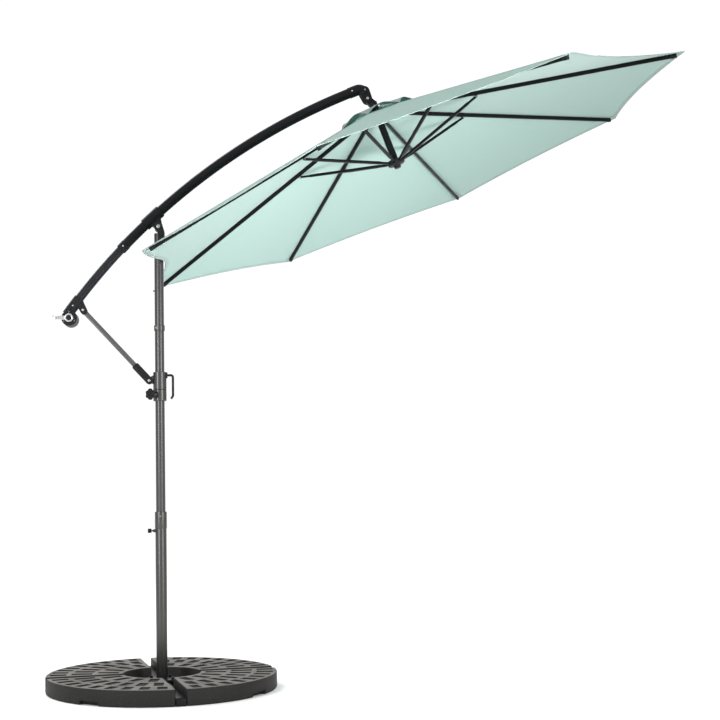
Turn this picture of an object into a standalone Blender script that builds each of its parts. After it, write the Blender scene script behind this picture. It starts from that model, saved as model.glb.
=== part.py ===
"""Cantilever parasol: a crank-lifted octagonal canopy on a tilting arm, with a weighted cross base.

Units are metres, +Z is up. The origin is on the floor, on the pole's axis. +X points from the pole
towards the canopy, and the crank is on the -Y side.
"""

import math

import bmesh
import bpy
from mathutils import Matrix, Vector

SIDE = Vector((0, 1, 0))  # every hinge of the arm lies along it

# Clearances
GAP = 0.0003  # between pieces that touch
LOOSE = 0.0006  # round a curved tube

# Base
BASE_RADIUS = 0.510
BASE_HEIGHT = 0.070
BASE_TURN = math.radians(12)
OPENING_RADIUS = 0.170
WEIGHT_GAP = 0.045  # between two weights, where a foot tube lies
FOOT_WIDTH = 0.042
FOOT_HEIGHT = 0.032
FOOT_WALL = 0.0025
RECESS_DEPTH = 0.003
RECESS_PITCH = 0.073
RECESS_WIDTH = 0.038
RECESS_BANDS = ((0.192, 0.286), (0.307, 0.399), (0.420, 0.493))
PLATE = 0.120
PLATE_BOTTOM, PLATE_TOP = 0.036, 0.042
STUD_OFFSET = 0.042
STUD_RADIUS, NUT_RADIUS = 0.0040, 0.0080
STUD_LENGTH, NUT_HEIGHT = 0.011, 0.0075  # above the plate

# Pole
POLE_STEPS = 24
LOWER_RADIUS = 0.025
LOWER_TOP = 0.773
LEDGE = 0.620  # inside the lower pole, where the upper pole stands
UPPER_RADIUS = 0.021
UPPER_TOP = 2.040
POLE_WALL = 0.0020
KNOB_HEIGHT = 0.694
BUTTON_HEIGHT, BUTTON_RADIUS = 1.777, 0.0042
JOINT_COLLAR = (1.594, 1.619)

# Arm: both tubes lie on one circle in the XZ plane
ARM_CENTRE = Vector((1.985, 0, -0.048))
ARM_RADIUS = 2.953
UPPER_ARM = 0.0230
LOWER_ARM = 0.0200
HEAD_PIN = Vector((0, 0, 2.070))
BRACE_TOP = Vector((-0.344, 0, 1.692))
BRACE_FOOT = Vector((-0.0475, 0, 1.3682))
BRACE = BRACE_TOP - BRACE_FOOT
BRACE_HEADING = math.atan2(BRACE.z, BRACE.x)
SOCKET_LENGTH = 0.096
SPOOL = Vector((-0.400, 0, 1.6505))
DRUM_RADIUS, DRUM_BORE = 0.0350, 0.0295
CRANK_REACH = 0.066
PULLEY = Vector((0.9558, 0, 2.7035))
CORD_WAY = 0.0045  # radius of the channels for the lifting cord

# Clamp on the pole
CLAMP_BORE = 0.0220
CLAMP_RADIUS = 0.0300
CLAMP_BOTTOM, CLAMP_SPLIT, CLAMP_TOP = 1.275, 1.326, 1.406
CLAMP_KNOB_TURN = math.radians(228)
CLAMP_KNOB_HEIGHT = 1.304

# Canopy: its frame has its origin at the mast's top, Z along the mast
CANOPY_TOP = Vector((0.985, 0, 2.670))
CANOPY_TILT = math.radians(20)
PIVOT_OFFSET = 0.018  # from the mast's axis to the tilt pin
CANOPY_PIVOT = CANOPY_TOP - Vector((math.cos(CANOPY_TILT), 0, math.sin(CANOPY_TILT))) * PIVOT_OFFSET
MAST_RADIUS = 0.016
MAST_TOP, MAST_BOTTOM = -0.030, -0.3255
RIBS = 8
FIRST_RIB = math.radians(22.5)
PIVOT_RADIUS = 0.030
RIB_PIVOT = -0.0776
RUNNER_PIVOT = -0.3224
RIB_SLOPE = 0.256
RIB_REACH = 1.300
RIB_WIDTH, RIB_HEIGHT = 0.012, 0.018
STRUT_RADIUS = 0.450  # where a strut meets its rib
STRUT_PIVOT = -0.200
STRUT_WIDTH, STRUT_HEIGHT = 0.011, 0.010
PIN_RADIUS, PIN_BORE = 0.0018, 0.0023
CORNER_RADIUS = 1.340
SCALLOP, BACK_SCALLOP = 0.049, 0.084
VENT_RADIUS = 0.100
CAP_INNER, CAP_OUTER = 0.029, 0.205
CAP_SLOPE, CAP_LIFT = 0.36, 0.026  # the lift is of its hem between the ribs
CAP_SCALLOP = 0.022
CAP_GAP = 0.0014  # between two sectors of the vent cap
TIE_RADIUS = 0.185  # where the cap is sewn down over a rib
CLOTH = 0.002
CLOTH_ABOVE_RIB = 0.0115

CHARCOAL = ((0.018, 0.018, 0.020), 0.45, 0.3)
BLACK_PLASTIC = ((0.012, 0.012, 0.013), 0.55, 0.0)
GREY_METAL = ((0.16, 0.16, 0.17), 0.32, 0.9)
MID_GREY = ((0.13, 0.13, 0.135), 0.45, 0.5)
DARK_TUBE = ((0.045, 0.045, 0.050), 0.38, 0.6)
CHROME = ((0.80, 0.80, 0.82), 0.12, 1.0)
LIGHT_GRIP = ((0.72, 0.72, 0.72), 0.5, 0.0)
STONE_RESIN = ((0.085, 0.080, 0.075), 0.8, 0.0)
MINT_CLOTH = ((0.42, 0.68, 0.62), 0.85, 0.0)


# ---- tools ---------------------------------------------------------------------------------------


def new_collection(name):
    made = bpy.data.collections.new(name)
    bpy.context.scene.collection.children.link(made)
    return made


def mesh_object(mesh):
    shape = bpy.data.objects.new("shape", mesh)
    WORKSHOP.objects.link(shape)
    return shape


def bake(shape):
    """The object as a plain mesh, with its modifiers applied and a curve's caps welded."""
    bpy.context.view_layer.update()
    graph = bpy.context.evaluated_depsgraph_get()
    mesh = bpy.data.meshes.new_from_object(shape.evaluated_get(graph))
    if shape.type == "CURVE":
        work = bmesh.new()
        work.from_mesh(mesh)
        bmesh.ops.remove_doubles(work, verts=work.verts, dist=1e-6)
        bmesh.ops.recalc_face_normals(work, faces=work.faces)
        work.to_mesh(mesh)
        work.free()
    mesh.transform(shape.matrix_world)
    bpy.data.objects.remove(shape)
    return mesh_object(mesh)


def moved(shape, matrix):
    shape.data.transform(matrix)
    return shape


def combined(operation, shape, tools):
    """The shape after one exact Boolean with each tool in turn."""
    for tool in tools:
        modifier = shape.modifiers.new(operation, "BOOLEAN")
        modifier.operation = operation
        modifier.solver = "EXACT"
        modifier.object = tool
        shape = bake(shape)
        bpy.data.objects.remove(tool)
    return shape


def joined(shape, *tools):
    return combined("UNION", shape, tools)


def cut(shape, *tools):
    return combined("DIFFERENCE", shape, tools)


def box(low, high):
    low, high = Vector(low), Vector(high)
    work = bmesh.new()
    size = Matrix.Diagonal((*(high - low), 1))
    bmesh.ops.create_cube(work, size=1, matrix=Matrix.Translation((low + high) / 2) @ size)
    mesh = bpy.data.meshes.new("box")
    work.to_mesh(mesh)
    work.free()
    return mesh_object(mesh)


def rod(start, end, radius, sides=12, end_radius=None):
    """A cylinder or cone from start to end."""
    start, end = Vector(start), Vector(end)
    along = end - start
    turn = along.to_track_quat("Z", "Y").to_matrix().to_4x4()
    work = bmesh.new()
    bmesh.ops.create_cone(
        work,
        cap_ends=True,
        segments=sides,
        radius1=radius,
        radius2=radius if end_radius is None else end_radius,
        depth=along.length,
        matrix=Matrix.Translation((start + end) / 2) @ turn,
    )
    mesh = bpy.data.meshes.new("rod")
    work.to_mesh(mesh)
    work.free()
    return mesh_object(mesh)


def turned(profile, steps=POLE_STEPS, closed=True):
    """A profile of (radius, height) points about Z. An open one has both its ends on the axis."""
    mesh = bpy.data.meshes.new("profile")
    edges = [(i, i + 1) for i in range(len(profile) - 1)]
    if closed:
        edges.append((len(profile) - 1, 0))
    mesh.from_pydata([(r, 0, z) for r, z in profile], edges, [])
    shape = mesh_object(mesh)
    screw = shape.modifiers.new("Screw", "SCREW")
    screw.steps = screw.render_steps = steps
    screw.use_merge_vertices = True
    screw.merge_threshold = 0.00001
    return bake(shape)


def ring(inner, outer, low, high, steps=POLE_STEPS):
    return turned([(outer, high), (outer, low), (inner, low), (inner, high)], steps)


def outline(points, thickness):
    """A flat outline in XZ, centred on Y = 0."""
    curve = bpy.data.curves.new("outline", "CURVE")
    curve.dimensions = "2D"
    curve.fill_mode = "BOTH"
    curve.extrude = thickness / 2
    spline = curve.splines.new("POLY")
    spline.points.add(len(points) - 1)
    for place, (x, z) in zip(spline.points, points):
        place.co = (x, z, 0, 1)
    spline.use_cyclic_u = True
    shape = bpy.data.objects.new("outline", curve)
    WORKSHOP.objects.link(shape)
    shape.rotation_euler = (math.pi / 2, 0, 0)
    return bake(shape)


def tube(points, radius, resolution=4):
    curve = bpy.data.curves.new("tube", "CURVE")
    curve.dimensions = "3D"
    curve.bevel_depth = radius
    curve.bevel_resolution = resolution
    curve.use_fill_caps = True
    spline = curve.splines.new("POLY")
    spline.points.add(len(points) - 1)
    for place, point in zip(spline.points, points):
        place.co = (*point, 1)
    shape = bpy.data.objects.new("tube", curve)
    WORKSHOP.objects.link(shape)
    return bake(shape)


def link_points(start, end, start_radius, end_radius, steps=6):
    """The outline in XZ of two round ends and the two lines that touch them both."""
    start, end = Vector((start[0], start[-1])), Vector((end[0], end[-1]))
    along = end - start
    heading = math.atan2(along.y, along.x)
    lean = math.acos((start_radius - end_radius) / along.length)
    points = []
    for centre, radius, first, last in (
        (end, end_radius, heading - lean, heading + lean),
        (start, start_radius, heading + lean, heading - lean + 2 * math.pi),
    ):
        for i in range(steps + 1):
            angle = first + (last - first) * i / steps
            points.append((centre.x + radius * math.cos(angle), centre.y + radius * math.sin(angle)))
    return points


def link(start, end, start_radius, end_radius, thickness, steps=6):
    return outline(link_points(start, end, start_radius, end_radius, steps), thickness)


def cross_bore(centre, radius, sides=12):
    """A cutter for a hole along Y right through whatever is at the centre."""
    return rod(centre - SIDE * 0.1, centre + SIDE * 0.1, radius, sides)


def cross_pin(centre, radius, half_length, head_radius, head=0.0025, sides=12):
    """A pin along Y through the centre, with a flat head on each end."""
    reach = half_length + head / 2
    shape = rod(centre - SIDE * reach, centre + SIDE * reach, radius, sides)
    for way in (-1, 1):
        inner = centre + SIDE * way * half_length
        outer = centre + SIDE * way * (half_length + head)
        shape = joined(shape, rod(inner, outer, head_radius, 16, head_radius * 0.8))
    return shape


def empty(name, location, parent=None, rotation=(0, 0, 0)):
    made = bpy.data.objects.new(name, None)
    made.empty_display_size = 0.05
    PARASOL.objects.link(made)
    made.parent = parent
    made.location = location
    made.rotation_euler = rotation
    bpy.context.view_layer.update()
    return made


def material(name, look):
    colour, roughness, metallic = look
    made = bpy.data.materials.new(name)
    made.use_nodes = True
    surface = made.node_tree.nodes["Principled BSDF"]
    surface.inputs["Base Color"].default_value = (*colour, 1)
    surface.inputs["Roughness"].default_value = roughness
    surface.inputs["Metallic"].default_value = metallic
    return made


def dress(shape, name, look):
    WORKSHOP.objects.unlink(shape)
    PARASOL.objects.link(shape)
    shape.name = shape.data.name = name
    shape.data.materials.clear()
    shape.data.materials.append(material(name, look))
    shape.data.shade_smooth()
    shape.data.set_sharp_from_angle(angle=math.radians(35))
    return shape


def keep(shape, name, look, parent=None):
    """Makes a shape that was built where it belongs into a part, carried by its parent."""
    dress(shape, name, look)
    if parent:
        shape.parent = parent
        shape.matrix_parent_inverse = parent.matrix_world.inverted()
    return shape


def seat(shape, name, look, parent, location=(0, 0, 0), rotation=(0, 0, 0)):
    """Makes a shape that was built in its own axes into a part at a place in its parent's axes."""
    dress(shape, name, look)
    shape.parent = parent
    shape.location = location
    shape.rotation_euler = rotation
    return shape


def copied(part, name, parent, location=(0, 0, 0), rotation=(0, 0, 0)):
    """Another part with the same mesh."""
    made = bpy.data.objects.new(name, part.data)
    PARASOL.objects.link(made)
    made.parent = parent
    made.location = location
    made.rotation_euler = rotation
    return made


def arm_slope(x):
    """The arm's slope above the horizontal where its centre line has this X."""
    return math.asin((ARM_CENTRE.x - x) / ARM_RADIUS)


def arm_point(x, outwards=0.0):
    slope = arm_slope(x)
    reach = ARM_RADIUS + outwards
    return ARM_CENTRE + Vector((-math.sin(slope), 0, math.cos(slope))) * reach


def near_rivet(point, surface):
    """A rivet's head on the crank's side of a point, on a surface that far from it."""
    return rod(point - SIDE * (surface - 0.0005), point - SIDE * (surface + 0.0025), 0.004, 10, 0.003)


def arm_path(start, end, steps):
    """Points on the arm's centre line from one X to another, at equal turns."""
    first, last = arm_slope(start), arm_slope(end)
    slopes = [first + (last - first) * i / steps for i in range(steps + 1)]
    return [ARM_CENTRE + Vector((-math.sin(a), 0, math.cos(a))) * ARM_RADIUS for a in slopes]


def along_line(origin, heading):
    """The matrix that takes local X to a heading in the XZ plane, from the origin."""
    return Matrix.Translation(origin) @ Matrix.Rotation(-heading, 4, "Y")


# ---- base ----------------------------------------------------------------------------------------


def weight_outline():
    """A quarter of the disc, less half a gap on each straight side, in the XY plane about +X."""
    half_gap = WEIGHT_GAP / 2
    corner = 0.010
    outer_turn = math.pi / 4 - math.asin((half_gap + corner) / (BASE_RADIUS - corner))
    inner_turn = math.pi / 4 - math.asin(half_gap / OPENING_RADIUS)
    points = []
    for i in range(21):
        angle = -outer_turn + 2 * outer_turn * i / 20
        points.append((BASE_RADIUS * math.cos(angle), BASE_RADIUS * math.sin(angle)))
    centre = Vector((math.cos(outer_turn), math.sin(outer_turn))) * (BASE_RADIUS - corner)
    for i in range(1, 4):
        angle = outer_turn + (3 * math.pi / 4 - outer_turn) * i / 3
        points.append((centre.x + corner * math.cos(angle), centre.y + corner * math.sin(angle)))
    for i in range(9):
        angle = inner_turn - 2 * inner_turn * i / 8
        points.append((OPENING_RADIUS * math.cos(angle), OPENING_RADIUS * math.sin(angle)))
    points += [(x, -y) for x, y in reversed(points[21:24])]
    return points


def recesses():
    """Blocks that cut the pattern of shallow recesses in a weight's top, as one mesh."""
    work = bmesh.new()
    for band, (inner, outer) in enumerate(RECESS_BANDS):
        middle = (inner + outer) / 2
        usable = middle * math.pi / 2 - WEIGHT_GAP - 0.020
        count = int(usable / RECESS_PITCH + 0.5)
        for i in range(count):
            turn = (i - (count - 1) / 2) * usable / count / middle
            place = Matrix.Rotation(turn, 4, "Z") @ Matrix.Translation((middle, 0, BASE_HEIGHT))
            size = Matrix.Diagonal((outer - inner, RECESS_WIDTH, 2 * RECESS_DEPTH, 1))
            bmesh.ops.create_cube(work, size=1, matrix=place @ size)
    mesh = bpy.data.meshes.new("recesses")
    work.to_mesh(mesh)
    work.free()
    return mesh_object(mesh)


def base_weight():
    shape = outline(weight_outline(), BASE_HEIGHT)
    lay_flat = Matrix.Translation((0, 0, BASE_HEIGHT / 2)) @ Matrix.Rotation(-math.pi / 2, 4, "X")
    moved(shape, lay_flat)
    bevel = shape.modifiers.new("Bevel", "BEVEL")
    bevel.width = 0.005
    bevel.segments = 1
    bevel.limit_method = "ANGLE"
    bevel.angle_limit = math.radians(60)
    shape = bake(shape)
    notch = box((BASE_RADIUS - 0.025, -0.050, -0.010), (BASE_RADIUS + 0.020, 0.050, 0.018))
    return cut(shape, notch, recesses())


def cross_frame():
    half = FOOT_WIDTH / 2
    reach = BASE_RADIUS - 0.003
    shape = joined(
        box((-reach, -half, 0), (reach, half, FOOT_HEIGHT)),
        box((-half, -reach, 0), (half, reach, FOOT_HEIGHT)),
    )
    inner, wall = half - FOOT_WALL, FOOT_WALL
    shape = cut(
        shape,
        box((-1, -inner, wall), (1, inner, FOOT_HEIGHT - wall)),
        box((-inner, -1, wall), (inner, 1, FOOT_HEIGHT - wall)),
    )
    side = PLATE / 2
    shape = joined(shape, box((-side, -side, FOOT_HEIGHT - 0.002), (side, side, PLATE_BOTTOM - GAP)))
    for x in (-STUD_OFFSET, STUD_OFFSET):
        for y in (-STUD_OFFSET, STUD_OFFSET):
            shape = joined(
                shape,
                rod((x, y, FOOT_HEIGHT), (x, y, PLATE_TOP + STUD_LENGTH), STUD_RADIUS, 8),
                rod((x, y, PLATE_TOP + GAP), (x, y, PLATE_TOP + NUT_HEIGHT), NUT_RADIUS, 6),
            )
    return moved(shape, Matrix.Rotation(BASE_TURN, 4, "Z"))


def lower_pole():
    inner = LOWER_RADIUS - 0.0023
    shape = turned([
        (LOWER_RADIUS, LOWER_TOP), (LOWER_RADIUS, PLATE_BOTTOM), (inner, PLATE_BOTTOM),
        (inner, LEDGE - 0.020), (UPPER_RADIUS - 0.002, LEDGE - 0.017),
        (UPPER_RADIUS - 0.002, LEDGE - GAP), (inner, LEDGE - GAP), (inner, LOWER_TOP),
    ])
    half = PLATE / 2
    flange = box((-half, -half, PLATE_BOTTOM), (half, half, PLATE_TOP))
    bores = [rod((0, 0, 0), (0, 0, 0.1), LOWER_RADIUS - 0.0012, POLE_STEPS)]
    for x in (-STUD_OFFSET, STUD_OFFSET):
        for y in (-STUD_OFFSET, STUD_OFFSET):
            bores.append(rod((x, y, 0), (x, y, 0.1), STUD_RADIUS + LOOSE, 8))
    flange = moved(cut(flange, *bores), Matrix.Rotation(BASE_TURN, 4, "Z"))
    wall = Vector((-LOWER_RADIUS, 0, KNOB_HEIGHT))
    outwards = Vector((-1, 0, 0))
    boss = rod(wall - outwards * 0.0015, wall + outwards * 0.0070, 0.0075, 12)
    hole = rod(wall - outwards * 0.0060, wall + outwards * 0.0200, 0.0034, 10)
    return cut(joined(shape, flange, boss), hole)


def lower_collar():
    outer, bore = LOWER_RADIUS + 0.0018, LOWER_RADIUS + GAP
    lip = LOWER_TOP + GAP
    bottom, top = 0.7035, LOWER_TOP + 0.005
    shape = turned([
        (outer - 0.001, top), (outer, top - 0.001), (outer, bottom), (bore, bottom),
        (bore, lip), (UPPER_RADIUS + GAP, lip), (UPPER_RADIUS + GAP, top),
    ])
    return joined(shape, rod((0, -outer + 0.001, 0.759), (0, -outer - 0.0015, 0.759), 0.004, 10, 0.003))


def pole_knob():
    face = -LOWER_RADIUS - 0.007 - GAP
    stem = rod((-UPPER_RADIUS - 0.0005, 0, KNOB_HEIGHT), (face - 0.011, 0, KNOB_HEIGHT), 0.0030, 10)
    neck = rod((face, 0, KNOB_HEIGHT), (face - 0.004, 0, KNOB_HEIGHT), 0.0055, 12)
    head = rod((face - 0.010, 0, KNOB_HEIGHT), (face - 0.026, 0, KNOB_HEIGHT), 0.0105, 16, 0.009)
    grooves = []
    for i in range(6):
        angle = 2 * math.pi * i / 6
        y, z = 0.0122 * math.cos(angle), KNOB_HEIGHT + 0.0122 * math.sin(angle)
        grooves.append(rod((face - 0.008, y, z), (face - 0.028, y, z), 0.0034, 6))
    return cut(joined(stem, neck, head), *grooves)


# ---- upper pole ----------------------------------------------------------------------------------


def upper_pole():
    shape = ring(UPPER_RADIUS - POLE_WALL, UPPER_RADIUS, LEDGE, UPPER_TOP)
    wall = Vector((-UPPER_RADIUS, 0, BUTTON_HEIGHT))
    reach = Vector((0.005, 0, 0))
    return cut(shape, rod(wall - reach, wall + reach, BUTTON_RADIUS + GAP))


def spring_button():
    """A snap button that stands out of the pole's wall, kept in by a flange inside the tube."""
    def spot(x):
        return Vector((x - UPPER_RADIUS, 0, BUTTON_HEIGHT))

    shaft = rod(spot(0.0045), spot(-0.0040), BUTTON_RADIUS)
    tip = rod(spot(0.0010), spot(-0.0070), 0.0040, 12, 0.0030)
    flange = rod(spot(0.0036), spot(0.0051), 0.0060)
    return joined(shaft, tip, flange)


def pole_collar():
    low, high = JOINT_COLLAR
    shape = ring(UPPER_RADIUS + GAP, 0.0245, low, high)
    angle = math.radians(235)
    aim = Vector((math.cos(angle), math.sin(angle), 0))
    middle = Vector((0, 0, (low + high) / 2))
    return joined(shape, rod(middle + aim * 0.0235, middle + aim * 0.0262, 0.004, 10, 0.003))


def pole_head():
    """A U-shaped bracket: a web behind the pole's far side and an ear on each side of the arm's lug."""
    inner, outer = UPPER_RADIUS + GAP, 0.0265
    pin = HEAD_PIN
    points = [(-0.001, 1.985), (outer, 1.985), (outer, 2.050)]
    points += [
        (pin.x + 0.020 * math.cos(a), pin.z + 0.020 * math.sin(a))
        for a in (math.radians(d) for d in range(0, 241, 24))
    ]
    points += [(-0.001, 2.044)]
    shape = outline(points, 2 * outer)
    shape = cut(
        shape,
        box((-0.1, -inner, 1.9), (inner, inner, 2.2)),
        box((inner - 0.001, -inner, 2.045), (0.1, inner, 2.2)),
        cross_bore(pin, 0.0063),
    )
    return shape


# ---- clamp and brace -----------------------------------------------------------------------------


def clamp_sleeve():
    shape = turned([
        (CLAMP_RADIUS - 0.001, CLAMP_TOP), (CLAMP_RADIUS, CLAMP_TOP - 0.002),
        (CLAMP_RADIUS, CLAMP_SPLIT + GAP), (CLAMP_BORE, CLAMP_SPLIT + GAP), (CLAMP_BORE, CLAMP_TOP),
    ])
    tongue = link((-0.0255, 1.372), BRACE_FOOT, 0.020, 0.0115, 0.012)
    bore = rod((0, 0, 1.3), (0, 0, 1.45), CLAMP_BORE, POLE_STEPS)
    tongue = cut(tongue, bore, cross_bore(BRACE_FOOT, 0.0043))
    return joined(shape, tongue)


def clamp_collar():
    shape = turned([
        (CLAMP_RADIUS, CLAMP_SPLIT), (CLAMP_RADIUS, CLAMP_BOTTOM + 0.002),
        (CLAMP_RADIUS - 0.001, CLAMP_BOTTOM), (CLAMP_BORE, CLAMP_BOTTOM), (CLAMP_BORE, CLAMP_SPLIT),
    ])
    aim = Vector((math.cos(CLAMP_KNOB_TURN), math.sin(CLAMP_KNOB_TURN), 0))
    middle = Vector((0, 0, CLAMP_KNOB_HEIGHT))
    boss = rod(middle + aim * 0.026, middle + aim * 0.044, 0.0125, 16, 0.0105)
    hole = rod(middle, middle + aim * 0.08, 0.0053, 12)
    return cut(joined(shape, boss), hole)


def clamp_knob():
    """Built along +X from the pole's axis, then turned to the knob's place."""
    stem = rod((0.0226, 0, 0), (0.056, 0, 0), 0.0050, 12)
    hub = rod((0.0443, 0, 0), (0.054, 0, 0), 0.0095, 16, 0.014)
    points = []
    for i in range(48):
        angle = 2 * math.pi * i / 48
        reach = 0.0235 + 0.0022 * math.cos(6 * angle)
        points.append((reach * math.cos(angle), reach * math.sin(angle)))
    disc = moved(outline(points, 0.017), Matrix.Rotation(math.pi / 2, 4, "Z"))
    disc = moved(disc, Matrix.Translation((0.0605, 0, 0)))
    shape = joined(disc, hub, stem)
    place = Matrix.Translation((0, 0, CLAMP_KNOB_HEIGHT)) @ Matrix.Rotation(CLAMP_KNOB_TURN, 4, "Z")
    return moved(shape, place)


def clamp_handle():
    """A bent rod with a foot plate on the clamp, open at its lower end."""
    path = [(0.032, 0, 1.3915), (0.0500, 0, 1.3915)]
    path += [
        (0.0500 + 0.009 * math.sin(a), 0, 1.3825 + 0.009 * math.cos(a))
        for a in (math.radians(d) for d in (22.5, 45, 67.5, 90))
    ]
    path += [(0.0590, 0, 1.3000), (0.0560, 0, 1.2930), (0.0500, 0, 1.2850)]
    plate = box((CLAMP_RADIUS + GAP, -0.010, 1.378), (CLAMP_RADIUS + 0.0045, 0.010, 1.404))
    return joined(tube(path, 0.0055), plate)


def brace_tube():
    """Built along +X from the foot pin, then turned to its place."""
    start, end = 0.040, BRACE.length + 0.011
    shape = box((start, -0.0075, -0.0110), (end, 0.0075, 0.0110))
    shape = cut(
        shape,
        box((start - 0.01, -0.0060, -0.0095), (end + 0.01, 0.0060, 0.0095)),
        cross_bore(Vector((BRACE.length, 0, 0)), 0.0043),
    )
    return moved(shape, along_line(BRACE_FOOT, BRACE_HEADING))


def brace_socket():
    half = 0.0165
    points = [(SOCKET_LENGTH - 0.003, -half), (SOCKET_LENGTH, -half + 0.003)]
    points += [(SOCKET_LENGTH, half - 0.003), (SOCKET_LENGTH - 0.003, half)]
    points += [
        (half * math.cos(a), half * math.sin(a))
        for a in (math.radians(d) for d in range(90, 271, 20))
    ]
    shape = outline(points, 0.025)
    shape = cut(
        shape,
        box((0.0385, -0.0078, -0.0113), (0.2, 0.0078, 0.0113)),
        box((-0.05, -0.0063, -0.03), (0.0200, 0.0063, 0.03)),
        cross_bore(Vector((0, 0, 0)), 0.0043),
    )
    return moved(shape, along_line(BRACE_FOOT, BRACE_HEADING))


# ---- arm -----------------------------------------------------------------------------------------


def lower_arm_tube():
    outer = tube(arm_path(-0.394, -0.110, 5), LOWER_ARM)
    return cut(outer, tube(arm_path(-0.410, -0.090, 5), LOWER_ARM - 0.0017))


def upper_arm_tube():
    shape = tube(arm_path(-0.172, 0.912, 16), UPPER_ARM)
    swage = tube(arm_path(-0.1725, -0.148, 1), UPPER_ARM + 0.0016)
    shape = joined(shape, swage, near_rivet(arm_point(-0.160), UPPER_ARM + 0.0005))
    return cut(shape, tube(arm_path(-0.200, 0.930, 18), UPPER_ARM - 0.0019))


def arm_saddle():
    sleeve = tube(arm_path(-0.062, 0.008, 3), 0.0285)
    lug = outline(saddle_lug_points(), 0.0400)
    bore = tube(arm_path(-0.100, 0.042, 4), UPPER_ARM + LOOSE)
    return cut(joined(sleeve, lug), bore, cross_bore(HEAD_PIN, 0.0063))


def saddle_lug_points():
    """The saddle's triangular lug, from under the sleeve down to the head pin."""
    left, right = arm_point(-0.050), arm_point(0.004)
    points = [(right.x, right.z), (left.x, left.z)]
    points += [
        (HEAD_PIN.x + 0.0185 * math.cos(a), HEAD_PIN.z + 0.0185 * math.sin(a))
        for a in (math.radians(d) for d in range(190, 361, 17))
    ]
    return points


def crank_housing():
    """The casting on the arm's lower end: tube sleeve, round drum housing and the brace's ears."""
    slope = arm_slope(-0.39)
    sleeve = tube(arm_path(-0.360, -0.4155, 2), 0.0245)
    drum = rod(SPOOL - SIDE * 0.060, SPOOL + SIDE * 0.030, DRUM_RADIUS, 32)
    aim = (BRACE_FOOT - BRACE_TOP).normalized()
    root = arm_point(-0.366)
    end = BRACE_TOP + aim * 0.006
    ears = []
    for side in (-1, 1):
        ear = link((root.x, root.z), (end.x, end.z), 0.018, 0.0155, 0.0045)
        ears.append(moved(ear, Matrix.Translation((0, side * 0.0105, 0))))
    neck = SPOOL + Vector((-math.sin(slope), 0, math.cos(slope))) * 0.0195
    heading = Vector((math.cos(slope), 0, math.sin(slope)))
    return cut(
        joined(sleeve, drum, *ears, near_rivet(arm_point(-0.387), 0.0240)),
        tube(arm_path(-0.340, -0.3955, 2), LOWER_ARM + LOOSE),
        rod(SPOOL - SIDE * 0.0555, SPOOL + SIDE * 0.0260, DRUM_BORE, 24),
        rod(SPOOL - SIDE * 0.070, SPOOL - SIDE * 0.050, 0.0108, 16),
        rod(SPOOL + SIDE * 0.020, SPOOL + SIDE * 0.040, 0.0053, 12),
        rod(neck, neck + heading * 0.058, CORD_WAY, 8),
        cross_bore(BRACE_TOP, 0.0043),
    )


def crank_spool():
    """Drum, flanges and shaft, turned about the crank's axis."""
    shape = turned([
        (0, 0.0285), (0.0050, 0.0285), (0.0050, 0.0150), (0.0260, 0.0150), (0.0260, 0.0130),
        (0.0165, 0.0120), (0.0165, -0.0120), (0.0260, -0.0130), (0.0260, -0.0150),
        (0.0105, -0.0150), (0.0105, -0.0740), (0.0095, -0.0750), (0, -0.0750),
    ], 24, closed=False)
    return moved(shape, Matrix.Translation(SPOOL) @ Matrix.Rotation(-math.pi / 2, 4, "X"))


def crank_handle():
    """The crank's ring and bar. The bar points away from the pole."""
    front, back = -0.0720, -0.0620
    hub = rod((0, back, 0), (0, front, 0), 0.0190, 32)
    bar = link((0, 0), (-CRANK_REACH, 0), 0.0100, 0.0075, 0.005)
    bar = moved(bar, Matrix.Translation((0, front + 0.0045, 0)))
    axle = rod((-CRANK_REACH, front + 0.004, 0), (-CRANK_REACH, -0.116, 0), 0.0030, 10)
    stop = rod((-CRANK_REACH, -0.1145, 0), (-CRANK_REACH, -0.1165, 0), 0.0055, 12)
    shape = joined(hub, bar, axle, stop)
    shape = cut(shape, rod((0, -0.1, 0), (0, 0, 0), 0.0108, 24))
    return moved(shape, Matrix.Translation(SPOOL))


def crank_grip():
    axis = Vector((SPOOL.x - CRANK_REACH, 0, SPOOL.z))
    back, front = 0.0753, 0.1140
    shape = turned([
        (0.0085, front), (0.0100, front - 0.003), (0.0100, back + 0.010), (0.0085, back),
        (0.0033, back), (0.0033, front),
    ], 16)
    return moved(shape, Matrix.Translation(axis) @ Matrix.Rotation(math.pi / 2, 4, "X"))


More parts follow.
